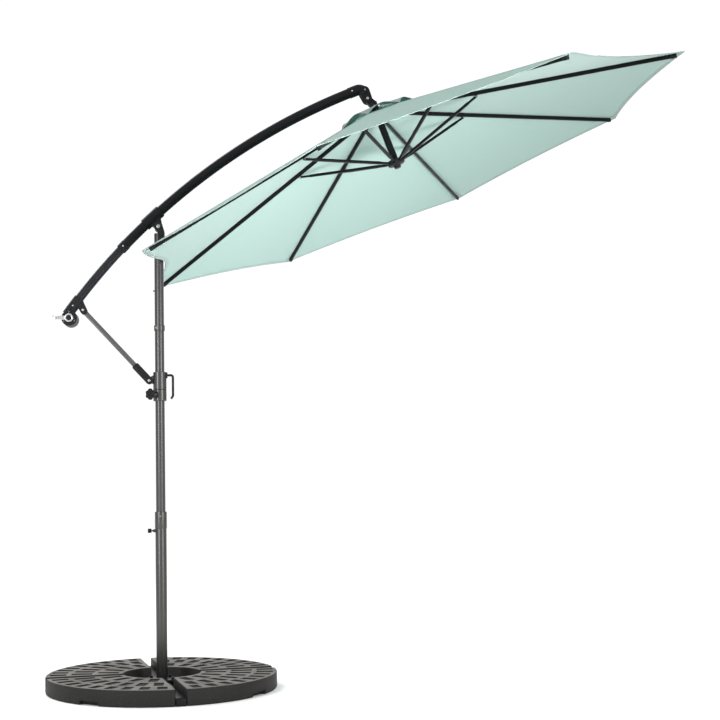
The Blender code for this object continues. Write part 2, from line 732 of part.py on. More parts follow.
def elbow():
    """The casting that bends the arm's end down and carries the canopy's pin between two ears."""
    pivot = CANOPY_PIVOT
    bend, start = 0.030, arm_point(0.920)
    first, last = arm_slope(0.920), math.radians(-70)
    path = arm_path(0.884, 0.920, 2)
    for i in range(1, 9):
        turn = first + (last - first) * i / 8
        step = Vector((math.sin(first) - math.sin(turn), 0, math.cos(turn) - math.cos(first)))
        path.append(start + step * bend)
    body = tube(path, 0.0252)
    top = path[-2]
    ears = []
    for side in (-1, 1):
        ear = link((top.x, top.z), (pivot.x, pivot.z), 0.0215, 0.0205, 0.0065)
        ears.append(moved(ear, Matrix.Translation((0, side * 0.0169, 0))))
    arm_aim = Vector((math.cos(arm_slope(0.915)), 0, math.sin(arm_slope(0.915))))
    over = arm_point(0.915)
    mast_aim = Vector((math.sin(CANOPY_TILT), 0, -math.cos(CANOPY_TILT)))
    down = CANOPY_TOP - mast_aim * 0.042
    return cut(
        joined(body, *ears, near_rivet(arm_point(0.897), 0.0248)),
        tube(arm_path(0.860, 0.9135, 2), UPPER_ARM + LOOSE),
        rod(PULLEY - SIDE * 0.0052, PULLEY + SIDE * 0.0052, 0.0198, 24),
        rod(over - arm_aim * 0.010, over + arm_aim * 0.040, CORD_WAY, 8),
        rod(down, down + mast_aim * 0.06, CORD_WAY, 8),
        cross_bore(pivot, 0.0053),
        cross_bore(PULLEY, 0.0033, 10),
    )


def elbow_pulley():
    shape = turned([
        (0.0185, 0.0045), (0.0185, 0.0038), (0.0160, 0.0018), (0.0160, -0.0018),
        (0.0185, -0.0038), (0.0185, -0.0045), (0.0033, -0.0045), (0.0033, 0.0045),
    ], 24)
    return moved(shape, Matrix.Translation(PULLEY) @ Matrix.Rotation(math.pi / 2, 4, "X"))


# ---- canopy frame: built in the mast's axes, its top at the origin --------------------------------


def mast_bracket():
    socket = rod((0, 0, -0.060), (0, 0, -0.022), 0.0195, 20)
    tongue = link((-PIVOT_OFFSET, 0), (-0.001, -0.034), 0.0160, 0.0180, 0.0260)
    shape = joined(socket, tongue)
    return cut(
        shape,
        rod((0, 0, -0.070), (0, 0, MAST_TOP + GAP), MAST_RADIUS + GAP, 20),
        rod((0, 0, -0.040), (0, 0, 0.030), CORD_WAY, 8),
        cross_bore(Vector((-PIVOT_OFFSET, 0, 0)), 0.0053),
    )


def slotted_hub(profile, slot_width, pivot_height, low, high):
    """A turned hub with a slot and a cross pin for each rib or strut."""
    shape = turned(profile, 24)
    for i in range(RIBS):
        turn = Matrix.Rotation(FIRST_RIB + 2 * math.pi * i / RIBS, 4, "Z")
        slot = box((0.0207, -slot_width / 2, low), (0.06, slot_width / 2, high))
        shape = cut(shape, moved(slot, turn))
    for i in range(RIBS):
        turn = Matrix.Rotation(FIRST_RIB + 2 * math.pi * i / RIBS, 4, "Z")
        middle = Vector((PIVOT_RADIUS, 0, pivot_height))
        pin = rod(middle - SIDE * 0.0078, middle + SIDE * 0.0078, PIN_RADIUS, 6)
        shape = joined(shape, moved(pin, turn))
    return shape


def top_hub():
    low, high = -0.0896, -0.0656
    bore = MAST_RADIUS + GAP
    profile = [
        (0.0385, high), (0.0400, high - 0.002), (0.0400, low + 0.002), (0.0385, low),
        (bore, low), (bore, high),
    ]
    return slotted_hub(profile, RIB_WIDTH + 0.0006, RIB_PIVOT, low - 0.01, high + 0.01)


def runner():
    low, high = -0.3290, -0.3110
    bore = MAST_RADIUS + 0.0005
    profile = [
        (0.0385, high), (0.0400, high - 0.002), (0.0400, low - 0.003), (0.0340, low - 0.008),
        (0.0170, low - 0.010), (0.0150, low - 0.023), (0.0050, low - 0.023), (0.0050, low),
        (bore, low), (bore, high),
    ]
    return slotted_hub(profile, STRUT_WIDTH + 0.0006, RUNNER_PIVOT, low, high + 0.01)


def rib():
    """In the rib pivot's axes: X outwards, Z up the mast."""
    slope = math.atan(RIB_SLOPE)
    length = (RIB_REACH - PIVOT_RADIUS) / math.cos(slope)
    half = RIB_HEIGHT / 2
    points = [(length, -half), (length, half)]
    points += [
        (half * math.cos(a), half * math.sin(a)) for a in (math.radians(d) for d in range(90, 271, 30))
    ]
    bar = moved(outline(points, RIB_WIDTH), along_line((0, 0, 0), -slope))
    cap = box((length - 0.022, -0.0070, -0.0102), (length + 0.004, 0.0070, 0.0091))
    cap = moved(cap, along_line((0, 0, 0), -slope))
    joint = strut_joint()
    above = Vector((joint.x, 0, -RIB_SLOPE * joint.x))
    lug = link((joint.x, joint.z), (above.x, above.z), 0.0060, 0.0060, 0.0040, 4)
    shape = joined(bar, cap, lug)
    return cut(
        shape,
        cross_bore(Vector((0, 0, 0)), PIN_BORE, 8),
        cross_bore(joint, PIN_BORE, 8),
    )


def strut_joint():
    """Where the strut meets its rib, in the rib pivot's axes."""
    return Vector((STRUT_RADIUS - PIVOT_RADIUS, 0, STRUT_PIVOT - RIB_PIVOT))


def strut():
    """Along +X from the rib's end to the runner's end."""
    joint = strut_joint()
    length = (joint - Vector((0, 0, RUNNER_PIVOT - RIB_PIVOT))).length
    half = STRUT_HEIGHT / 2
    shape = link((0, 0), (length, 0), half, half, STRUT_WIDTH, 5)
    shape = cut(
        shape,
        box((-0.01, -0.0023, -0.01), (0.0150, 0.0023, 0.01)),
        cross_bore(Vector((length, 0, 0)), PIN_BORE, 8),
    )
    return joined(shape, rod((0, -0.0045, 0), (0, 0.0045, 0), PIN_RADIUS, 6))


# ---- canopy cloth --------------------------------------------------------------------------------


def cloth_sheet(across, rows, surface):
    """A grid moved onto a surface(q, t), with q from -1 to 1 across the panel and t from 0 to 1."""
    work = bmesh.new()
    bmesh.ops.create_grid(work, x_segments=across, y_segments=rows, size=1)
    for vert in work.verts:
        vert.co = surface(vert.co.x, (vert.co.y + 1) / 2)
    bmesh.ops.recalc_face_normals(work, faces=work.faces)
    mesh = bpy.data.meshes.new("sheet")
    work.to_mesh(mesh)
    work.free()
    shape = mesh_object(mesh)
    solidify = shape.modifiers.new("Solidify", "SOLIDIFY")
    solidify.thickness = CLOTH
    solidify.offset = 0
    solidify.use_even_offset = True
    return bake(shape)


def on_panel(radius, q, height, gap):
    """A point of a panel: q is -1 or 1 halfway to the next rib, on the straight line between them."""
    turn = math.pi / RIBS
    x = radius * (1 - abs(q) * math.sin(turn) ** 2)
    y = radius * q * math.sin(turn) * math.cos(turn)
    edge = 0.5 * gap * abs(q) / (radius * math.sin(turn))
    return Vector((x, y * (1 - edge), height))


def cloth_height(radius):
    return RIB_PIVOT - RIB_SLOPE * (radius - PIVOT_RADIUS) + CLOTH_ABOVE_RIB


def hem_radius(q, scallop, to_pole):
    """The hem curves in between the ribs. On the pole's side it stays straight near the ribs."""
    across = abs(q)
    share = across ** 2 * (3 - 2 * across) if to_pole else 1 - (1 - across) ** 2
    return CORNER_RADIUS - scallop * share


def canopy_panel(left_to_pole, right_to_pole):
    """The cloth over one rib, halfway to each neighbour, with its part of the vent cap."""

    def main_cloth(q, t):
        to_pole = right_to_pole if q > 0 else left_to_pole
        hem = hem_radius(q, BACK_SCALLOP if to_pole else SCALLOP, to_pole)
        radius = VENT_RADIUS + (hem - VENT_RADIUS) * t
        return on_panel(radius, q, cloth_height(radius), GAP)

    def vent_cap(q, t):
        hem = CAP_OUTER - CAP_SCALLOP * (1 - (1 - abs(q)) ** 2)
        radius = CAP_INNER + (hem - CAP_INNER) * t
        height = cloth_height(CAP_OUTER) + 0.001 + (CAP_OUTER - radius) * CAP_SLOPE
        return on_panel(radius, q, height + CAP_LIFT * abs(q) * t, CAP_GAP)

    shape = cloth_sheet(8, 1, main_cloth)
    cap = cloth_sheet(4, 2, vent_cap)
    tie_height = cloth_height(TIE_RADIUS) - 0.0005
    tie = box((TIE_RADIUS, -0.004, tie_height), (TIE_RADIUS + 0.014, 0.004, tie_height + 0.0030))
    return joined(shape, cap, tie)


# ---- assembly ------------------------------------------------------------------------------------


def build_base():
    first = None
    for i in range(4):
        name = f"base_weight_{i + 1}"
        turn = (0, 0, BASE_TURN + math.pi / 4 + i * math.pi / 2)
        if first is None:
            first = seat(base_weight(), name, STONE_RESIN, None, rotation=turn)
        else:
            copied(first, name, None, rotation=turn)
    keep(cross_frame(), "cross_frame", CHARCOAL)
    keep(lower_pole(), "lower_pole", GREY_METAL)
    keep(lower_collar(), "lower_collar", GREY_METAL)
    knob_axis = empty("pole_knob_axis", (-LOWER_RADIUS, 0, KNOB_HEIGHT))
    keep(pole_knob(), "pole_knob", BLACK_PLASTIC, knob_axis)


def build_pole():
    axis = empty("pole_axis", (0, 0, LEDGE))
    keep(upper_pole(), "upper_pole", GREY_METAL, axis)
    button_axis = empty("spring_button_axis", (-UPPER_RADIUS, 0, BUTTON_HEIGHT - LEDGE), axis)
    keep(spring_button(), "spring_button", CHROME, button_axis)
    keep(pole_collar(), "pole_collar", GREY_METAL, axis)
    keep(pole_head(), "pole_head", CHARCOAL, axis)
    keep(cross_pin(HEAD_PIN, 0.0060, 0.0268, 0.0090), "head_pin", CHROME, axis)
    return axis


def build_arm(pole):
    arm = empty("arm_pivot", HEAD_PIN - pole.location, pole)
    keep(arm_saddle(), "arm_saddle", CHARCOAL, arm)
    keep(upper_arm_tube(), "upper_arm_tube", CHARCOAL, arm)
    keep(lower_arm_tube(), "lower_arm_tube", DARK_TUBE, arm)
    keep(crank_housing(), "crank_housing", CHARCOAL, arm)
    keep(elbow(), "elbow", CHARCOAL, arm)
    keep(cross_pin(BRACE_TOP, 0.0040, 0.0131, 0.0060, 0.0020), "brace_pin", CHROME, arm)
    keep(cross_pin(CANOPY_PIVOT, 0.0050, 0.0205, 0.0070, 0.0022), "elbow_pin", CHROME, arm)
    keep(cross_pin(PULLEY, 0.0030, 0.0262, 0.0048, 0.0018, 10), "pulley_pin", CHROME, arm)
    pulley_axis = empty("pulley_axis", PULLEY - HEAD_PIN, arm)
    keep(elbow_pulley(), "elbow_pulley", BLACK_PLASTIC, pulley_axis)
    crank = empty("crank_axis", SPOOL - HEAD_PIN, arm)
    keep(crank_spool(), "crank_spool", BLACK_PLASTIC, crank)
    keep(crank_handle(), "crank_handle", CHROME, crank)
    grip_axis = empty("crank_grip_axis", (-CRANK_REACH, 0, 0), crank)
    keep(crank_grip(), "crank_grip", LIGHT_GRIP, grip_axis)
    return arm


def build_brace(arm):
    brace = empty("brace_pivot", BRACE_TOP - HEAD_PIN, arm)
    keep(brace_tube(), "brace_tube", MID_GREY, brace)
    keep(brace_socket(), "brace_socket", BLACK_PLASTIC, brace)
    keep(cross_pin(BRACE_FOOT, 0.0040, 0.0130, 0.0065, 0.0020), "clamp_pin", CHROME, brace)
    clamp = empty("clamp_pivot", BRACE_FOOT - BRACE_TOP, brace)
    keep(clamp_sleeve(), "clamp_sleeve", GREY_METAL, clamp)
    keep(clamp_collar(), "clamp_collar", GREY_METAL, clamp)
    keep(clamp_handle(), "clamp_handle", CHARCOAL, clamp)
    knob_centre = Vector((0, 0, CLAMP_KNOB_HEIGHT)) - BRACE_FOOT
    knob_axis = empty("clamp_knob_axis", knob_centre, clamp)
    keep(clamp_knob(), "clamp_knob", BLACK_PLASTIC, knob_axis)


def build_canopy(arm):
    pivot = empty("canopy_pivot", CANOPY_PIVOT - HEAD_PIN, arm, (0, -CANOPY_TILT, 0))
    top = empty("canopy_top", (PIVOT_OFFSET, 0, 0), pivot)
    seat(mast_bracket(), "mast_bracket", CHARCOAL, top)
    mast = ring(MAST_RADIUS - 0.0015, MAST_RADIUS, MAST_BOTTOM, MAST_TOP, 20)
    seat(mast, "mast_tube", CHARCOAL, top)
    seat(top_hub(), "top_hub", BLACK_PLASTIC, top)
    build_ribs(top)


def build_ribs(top):
    """The eight ribs about the mast, each with its strut and its panel of cloth."""
    joint = strut_joint()
    runner_pivot = Vector((0, 0, RUNNER_PIVOT - RIB_PIVOT))
    aim = runner_pivot - joint
    strut_turn = (0, -math.atan2(aim.z, aim.x), 0)
    first_rib, first_strut, panels = None, None, {}
    for i in range(RIBS):
        angle = FIRST_RIB + 2 * math.pi * i / RIBS
        place = Vector((math.cos(angle) * PIVOT_RADIUS, math.sin(angle) * PIVOT_RADIUS, RIB_PIVOT))
        pivot = empty(f"rib_pivot_{i + 1}", place, top, (0, 0, angle))
        lift = (-PIVOT_RADIUS, 0, -RIB_PIVOT)
        if first_rib is None:
            first_rib = seat(rib(), "rib_1", CHARCOAL, pivot)
            first_strut = seat(strut(), "strut_1", CHARCOAL, pivot, joint, strut_turn)
        else:
            copied(first_rib, f"rib_{i + 1}", pivot)
            copied(first_strut, f"strut_{i + 1}", pivot, joint, strut_turn)
        name = f"canopy_panel_{i + 1}"
        to_pole = (i == RIBS // 2, i == RIBS // 2 - 1)
        if to_pole in panels:
            copied(panels[to_pole], name, pivot, lift)
        else:
            panels[to_pole] = seat(canopy_panel(*to_pole), name, MINT_CLOTH, pivot, lift)
        if i == 0:
            runner_axis = empty("runner_pivot", runner_pivot, pivot, (0, 0, -angle))
            to_mast = (-math.cos(angle) * PIVOT_RADIUS, -math.sin(angle) * PIVOT_RADIUS, -RUNNER_PIVOT)
            seat(runner(), "runner", BLACK_PLASTIC, runner_axis, to_mast)


for leftover in list(bpy.data.objects):
    bpy.data.objects.remove(leftover, do_unlink=True)
PARASOL = new_collection("Cantilever parasol")
WORKSHOP = new_collection("Cutters")
build_base()
POLE = build_pole()
ARM = build_arm(POLE)
build_brace(ARM)
build_canopy(ARM)
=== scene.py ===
"""Cantilever parasol: the looks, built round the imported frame.

Units are metres, +Z is up, the pole stands on the origin and the canopy lies towards +X.
"""

from math import acos, asin, atan, atan2, cos, pi, radians, sin

import bmesh
import bpy
from mathutils import Matrix, Vector


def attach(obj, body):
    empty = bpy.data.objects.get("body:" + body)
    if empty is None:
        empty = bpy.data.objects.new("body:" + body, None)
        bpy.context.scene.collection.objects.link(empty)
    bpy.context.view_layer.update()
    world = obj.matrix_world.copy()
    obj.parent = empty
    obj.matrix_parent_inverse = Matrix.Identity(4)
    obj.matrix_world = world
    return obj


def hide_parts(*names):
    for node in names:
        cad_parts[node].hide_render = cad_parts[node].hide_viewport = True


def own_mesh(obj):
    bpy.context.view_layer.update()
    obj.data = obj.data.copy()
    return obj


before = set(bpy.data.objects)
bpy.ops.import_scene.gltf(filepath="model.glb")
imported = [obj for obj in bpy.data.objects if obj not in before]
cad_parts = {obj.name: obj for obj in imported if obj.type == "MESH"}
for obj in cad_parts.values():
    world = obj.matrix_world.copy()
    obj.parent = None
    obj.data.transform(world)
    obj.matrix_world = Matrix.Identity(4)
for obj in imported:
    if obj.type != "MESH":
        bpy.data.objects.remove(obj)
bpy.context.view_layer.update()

SIDE = Vector((0, 1, 0))
TO_FRONT = Matrix.Rotation(pi / 2, 4, "X")  # lays what points up towards -Y
GAP = 0.0003  # clearance between parts that fit in one another
DRILL_REACH = 0.1

# Base. A recess band is its inner radius, its outer radius and its recesses in each quarter.
BASE_RADIUS, BASE_HEIGHT = 0.510, 0.070
BASE_TURN = radians(12)
OPENING_RADIUS = 0.170
WEIGHT_GAP, WEIGHT_CORNER, WEIGHT_LIP = 0.045, 0.010, 0.006
RECESS_BANDS = ((0.192, 0.286, 4), (0.307, 0.399, 7), (0.420, 0.493, 9))
RECESS_WIDTH, RECESS_DEPTH, RECESS_CORNER, RECESS_MARGIN = 0.042, 0.0055, 0.004, 0.020
NOTCH_DEPTH, NOTCH_HALF_WIDTH, NOTCH_HEIGHT = 0.025, 0.050, 0.018
FOOT_WIDTH, FOOT_HEIGHT = 0.042, 0.032
PLATE, PLATE_BOTTOM, PLATE_TOP = 0.120, 0.036, 0.042
STUD_OFFSET, STUD_HOLE = 0.042, 0.0048

# Pole
LOWER_RADIUS, LOWER_WALL, LOWER_TOP = 0.025, 0.0023, 0.773
UPPER_RADIUS, UPPER_WALL, UPPER_BOTTOM, UPPER_TOP = 0.021, 0.002, 0.620, 2.040
JOINT_COLLAR_BOTTOM, JOINT_COLLAR_TOP = 0.7035, 0.778
SWAGE_RADIUS, SWAGE_BOTTOM, SWAGE_TOP = 0.0245, 1.594, 1.619
SWAGE_RIVET_TURN = radians(235)
KNOB_HEIGHT = 0.694
BUTTON_HEIGHT, BUTTON_RADIUS = 1.777, 0.0042
HEAD_PIN, HEAD_PIN_RADIUS = Vector((0, 0, 2.070)), 0.0060

# Arm: its tubes lie on one circle in the XZ plane
ARM_CENTRE, ARM_RADIUS = Vector((1.985, 0, -0.048)), 2.953
UPPER_ARM, LOWER_ARM = 0.0230, 0.0200
BRACE_TOP, BRACE_FOOT, BRACE_PIN_RADIUS = Vector((-0.344, 0, 1.692)), Vector((-0.0475, 0, 1.3682)), 0.0040
SPOOL = Vector((-0.400, 0, 1.6505))
PULLEY, PULLEY_PIN_RADIUS = Vector((0.9558, 0, 2.7035)), 0.0030
DRUM_RADIUS, DRUM_BORE = 0.0350, 0.0295
CRANK_REACH = 0.066
CORD_BORE = 0.0045
RIVET_RADIUS, RIVET_HEIGHT = 0.0042, 0.0022

# Clamp
CLAMP_BORE, CLAMP_RADIUS = 0.0220, 0.0300
CLAMP_BOTTOM, CLAMP_SPLIT, CLAMP_TOP = 1.275, 1.326, 1.406
CLAMP_KNOB_TURN, CLAMP_KNOB_HEIGHT = radians(228), 1.304

# Canopy: its frame has its origin at the mast's top and Z along the mast
CANOPY_TOP = Vector((0.985, 0, 2.670))
CANOPY_TILT = radians(20)
CANOPY = Matrix.Translation(CANOPY_TOP) @ Matrix.Rotation(-CANOPY_TILT, 4, "Y")
PIVOT_OFFSET, CANOPY_PIN_RADIUS = 0.018, 0.0050
CANOPY_PIVOT = CANOPY @ Vector((-PIVOT_OFFSET, 0, 0))
MAST_RADIUS, MAST_WALL = 0.016, 0.0015
MAST_TOP, MAST_BOTTOM = -0.030, -0.3255
RIBS, FIRST_RIB = 8, radians(22.5)
HALF_GORE = pi / RIBS
PIVOT_RADIUS, RIB_PIVOT, RUNNER_PIVOT = 0.030, -0.0776, -0.3224
RIB_SLOPE, RIB_REACH = 0.256, 1.300
RIB_WIDTH, RIB_HEIGHT = 0.012, 0.018
RIB_LENGTH = (RIB_REACH - PIVOT_RADIUS) / cos(atan(RIB_SLOPE))
CORNER_RADIUS = 1.340
SCALLOP, BACK_SCALLOP = 0.049, 0.084
VENT_RADIUS, CAP_INNER, CAP_OUTER = 0.100, 0.029, 0.205
CAP_SLOPE, CAP_LIFT, CAP_SCALLOP = 0.36, 0.026, 0.022
CLOTH_ABOVE_RIB, CLOTH_SAG, CLOTH_THICKNESS = 0.0115, 0.010, 0.0009
HEM_WIDTH, CAP_HEM_WIDTH, SEAM_HALF_WIDTH, POCKET_LENGTH = 0.020, 0.012, 0.0060, 0.085

# In a rib's own axes, from its pivot: the strut's upper and lower joints, and the rib under the upper one
STRUT_JOINT = Vector((0.450 - PIVOT_RADIUS, 0, -0.200 - RIB_PIVOT))
RUNNER_JOINT = Vector((0, 0, RUNNER_PIVOT - RIB_PIVOT))
STRUT_SHOE = Vector((STRUT_JOINT.x, 0, -RIB_SLOPE * STRUT_JOINT.x))


# ---- meshes ----


def linked(name, data):
    shape = bpy.data.objects.new(name, data)
    bpy.context.scene.collection.objects.link(shape)
    return shape


def mesh_from(work):
    mesh = bpy.data.meshes.new("mesh")
    work.to_mesh(mesh)
    work.free()
    return mesh


def finished_mesh(work):
    bmesh.ops.recalc_face_normals(work, faces=work.faces)
    return mesh_from(work)


def placed(mesh, matrix):
    mesh.transform(matrix)
    return mesh


def merged(*meshes):
    work = bmesh.new()
    for mesh in meshes:
        work.from_mesh(mesh)
        bpy.data.meshes.remove(mesh)
    return mesh_from(work)


def modify(shape, kind, **values):
    modifier = shape.modifiers.new(kind, kind)
    for key, value in values.items():
        setattr(modifier, key, value)


def with_modifiers(mesh, *settings):
    """The mesh after modifiers, each given as (type, {property: value})."""
    shape = linked("workpiece", mesh)
    for kind, values in settings:
        modify(shape, kind, **values)
    bpy.context.view_layer.update()
    graph = bpy.context.evaluated_depsgraph_get()
    made = bpy.data.meshes.new_from_object(shape.evaluated_get(graph))
    bpy.data.objects.remove(shape)
    return made


def cut(mesh, *cutters):
    for cutter in cutters:
        tool = linked("cutter", cutter)
        values = {"object": tool, "operation": "DIFFERENCE", "solver": "EXACT"}
        mesh = with_modifiers(mesh, ("BOOLEAN", values))
        bpy.data.objects.remove(tool)
    return mesh


def cast(grain, *meshes):
    """Overlapping closed shapes run together into one casting with small fillets."""
    return with_modifiers(
        merged(*meshes),
        ("REMESH", {"mode": "VOXEL", "voxel_size": grain}),
        ("SMOOTH", {"factor": 0.5, "iterations": 4}),
        ("DECIMATE", {"ratio": 0.35}),
    )


def softened_edges(width, segments, angle):
    """Settings of a bevel on the edges sharper than an angle."""
    return {"width": width, "segments": segments, "limit_method": "ANGLE", "angle_limit": radians(angle)}


def bevelled(mesh, width, segments=2, angle=30):
    return with_modifiers(mesh, ("BEVEL", softened_edges(width, segments, angle)))


def turns(count):
    """Angles spread evenly over one turn."""
    return [2 * pi * i / count for i in range(count)]


def polar(radius, angle):
    return radius * cos(angle), radius * sin(angle)


def circle(radius, sides=48):
    return [polar(radius, a) for a in turns(sides)]


def rounded(points, radius, steps=4, closed=False):
    """A line of 2D points with its corners rounded off."""
    made, count = [], len(points)
    for i, corner in enumerate(points):
        corner = Vector(corner)
        if not closed and i in (0, count - 1):
            made.append(tuple(corner))
            continue
        before, after = Vector(points[i - 1]) - corner, Vector(points[(i + 1) % count]) - corner
        reach = min(radius, before.length * 0.45, after.length * 0.45)
        first, last = corner + before.normalized() * reach, corner + after.normalized() * reach
        for k in range(steps + 1):
            t = k / steps
            made.append(tuple(first * (1 - t) ** 2 + corner * (2 * t * (1 - t)) + last * t ** 2))
    return made


def rounded_rectangle(width, height, radius, steps=3):
    w, h = width / 2, height / 2
    return rounded([(w, -h), (w, h), (-w, h), (-w, -h)], radius, steps, True)


def lathe(profile, sides=56, closed=False):
    """A surface of revolution about Z from (radius, height) points. An open profile ends on the axis."""
    work = bmesh.new()
    rings = []
    for radius, height in profile:
        if radius < 1e-6:
            rings.append([work.verts.new((0, 0, height))])
        else:
            rings.append([work.verts.new((*spot, height)) for spot in circle(radius, sides)])
    pairs = list(zip(rings, rings[1:]))
    if closed:
        pairs.append((rings[-1], rings[0]))
    for one, two in pairs:
        for i in range(sides):
            k = (i + 1) % sides
            corners = [one[i % len(one)], one[k % len(one)], two[k % len(two)], two[i % len(two)]]
            corners = list(dict.fromkeys(corners))
            if len(corners) > 2:
                work.faces.new(corners)
    return finished_mesh(work)


def turned(profile, lip, steps=3, sides=48):
    """A solid turned from a profile that starts and ends on the axis, its corners rounded."""
    return lathe(rounded(profile, lip, steps), sides)


def ring(profile, lip, steps=3, sides=64):
    """A ring turned from a closed profile, its corners rounded."""
    return lathe(rounded(profile, lip, steps, True), sides, True)


def pipe(outer, inner, low, high, lip, sides=64):
    return ring([(outer, low), (outer, high), (inner, high), (inner, low)], lip, 3, sides)


def facing(origin, aim):
    """The matrix that stands a shape built about Z on the origin, along a direction."""
    return Matrix.Translation(origin) @ Vector(aim).to_track_quat("Z", "Y").to_matrix().to_4x4()


def rod(start, end, radius, sides=32, lip=0.0, end_radius=None):
    start, end = Vector(start), Vector(end)
    long = (end - start).length
    far = radius if end_radius is None else end_radius
    profile = [(0, 0), (radius, 0), (far, long), (0, long)]
    if lip:
        profile = rounded(profile, lip, 3)
    return placed(lathe(profile, sides), facing(start, end - start))


def drill(centre, radius, sides=24):
    """A cutter for a bore along Y."""
    centre = Vector(centre)
    return rod(centre - SIDE * DRILL_REACH, centre + SIDE * DRILL_REACH, radius, sides)


def box(low, high, lip=0.0):
    low, high = Vector(low), Vector(high)
    work = bmesh.new()
    size = Matrix.Diagonal((*(high - low), 1))
    bmesh.ops.create_cube(work, size=1, matrix=Matrix.Translation((low + high) / 2) @ size)
    if lip:
        bmesh.ops.bevel(work, geom=list(work.edges), offset=lip, segments=2, profile=0.5, affect="EDGES")
    return finished_mesh(work)


def prism(outline, low, high, lip=0.0, segments=2):
    """A flat outline in XY drawn from low to high, its rims rounded."""
    work = bmesh.new()
    face = work.faces.new([work.verts.new((x, y, low)) for x, y in outline])
    drawn = bmesh.ops.extrude_face_region(work, geom=[face])["geom"]
    top = [v for v in drawn if isinstance(v, bmesh.types.BMVert)]
    bmesh.ops.translate(work, verts=top, vec=(0, 0, high - low))
    if lip:
        rims = [e for e in work.edges if abs(e.verts[0].co.z - e.verts[1].co.z) < 1e-7]
        bmesh.ops.bevel(work, geom=rims, offset=lip, segments=segments, profile=0.5, affect="EDGES")
    return finished_mesh(work)


def upright(mesh, side=0.0):
    """A prism built in XY turned to stand in the XZ plane, centred on a side distance."""
    return placed(mesh, Matrix.Translation((0, side, 0)) @ TO_FRONT)


def heading_at(path, i):
    return (path[min(i + 1, len(path) - 1)] - path[max(i - 1, 0)]).normalized()


def section_at(work, point, aim, section):
    """New vertices of a (sideways, outwards) section that stands across a path in the XZ plane."""
    out = aim.cross(SIDE)
    return [work.verts.new(point + SIDE * a + out * b) for a, b in section]


def bridge(work, one, two):
    for i in range(len(one)):
        k = (i + 1) % len(one)
        work.faces.new((one[i], one[k], two[k], two[i]))


def sweep(path, section, scales=None):
    """A closed section carried along a path, with a flat face at each end."""
    work = bmesh.new()
    rings = []
    for i, point in enumerate(path):
        size = scales[i] if scales else 1
        rings.append(section_at(work, point, heading_at(path, i), [(a * size, b * size) for a, b in section]))
    for one, two in zip(rings, rings[1:]):
        bridge(work, one, two)
    work.faces.new(rings[0])
    work.faces.new(rings[-1])
    return finished_mesh(work)


def swept_pipe(path, outer, wall, sides=56):
    """A bent round tube with open ends and slightly rounded rims."""
    work = bmesh.new()
    lip, inner = 0.0006, outer - wall
    first, last = (path[1] - path[0]).normalized(), (path[-1] - path[-2]).normalized()
    stations = [(path[0], inner), (path[0], outer - lip), (path[0] + first * lip, outer)]
    stations += [(p, outer) for p in path[1:-1]]
    stations += [(path[-1] - last * lip, outer), (path[-1], outer - lip), (path[-1], inner)]
    stations += [(p, inner) for p in reversed(path[1:-1])]
    rings = []
    for point, radius in stations:
        nearest = min(range(len(path)), key=lambda i: (path[i] - point).length)
        rings.append(section_at(work, point, heading_at(path, nearest), circle(radius, sides)))
    for one, two in zip(rings, rings[1:] + rings[:1]):
        bridge(work, one, two)
    return finished_mesh(work)


def link_outline(start, end, start_radius, end_radius, steps=14):
    """The outline in XZ of two round ends and the two lines that touch them both."""
    start, end = Vector((start[0], start[-1])), Vector((end[0], end[-1]))
    along = end - start
    heading = atan2(along.y, along.x)
    lean = acos((start_radius - end_radius) / along.length)
    points = []
    for centre, radius, first, last in (
        (end, end_radius, heading - lean, heading + lean),
        (start, start_radius, heading + lean, heading - lean + 2 * pi),
    ):
        for i in range(steps + 1):
            x, y = polar(radius, first + (last - first) * i / steps)
            points.append((centre.x + x, centre.y + y))
    return points


def link(start, end, start_radius, end_radius, thickness, lip=0.0, side=0.0):
    outline = link_outline(start, end, start_radius, end_radius)
    return upright(prism(outline, -thickness / 2, thickness / 2, lip), side)


def stud(spot, aim, radius, height):
    """A domed head that stands on a spot, along a direction."""
    steps, rim = 6, 0.25
    profile = [(0, 0), (radius, 0), (radius, height * rim)]
    for i in range(1, steps):
        turn = pi / 2 * i / steps
        profile.append((radius * cos(turn), height * (rim + (1 - rim) * sin(turn))))
    profile.append((0, height))
    return placed(lathe(profile, 28), facing(spot, aim))


def cross_pin(centre, radius, half_length, head_radius, head):
    """A pin along Y with a domed head at each end."""
    shape = [rod(centre - SIDE * half_length, centre + SIDE * half_length, radius, 24)]
    for way in (-1, 1):
        shape.append(stud(centre + SIDE * half_length * way, SIDE * way, head_radius, head))
    return merged(*shape)


# ---- materials ----


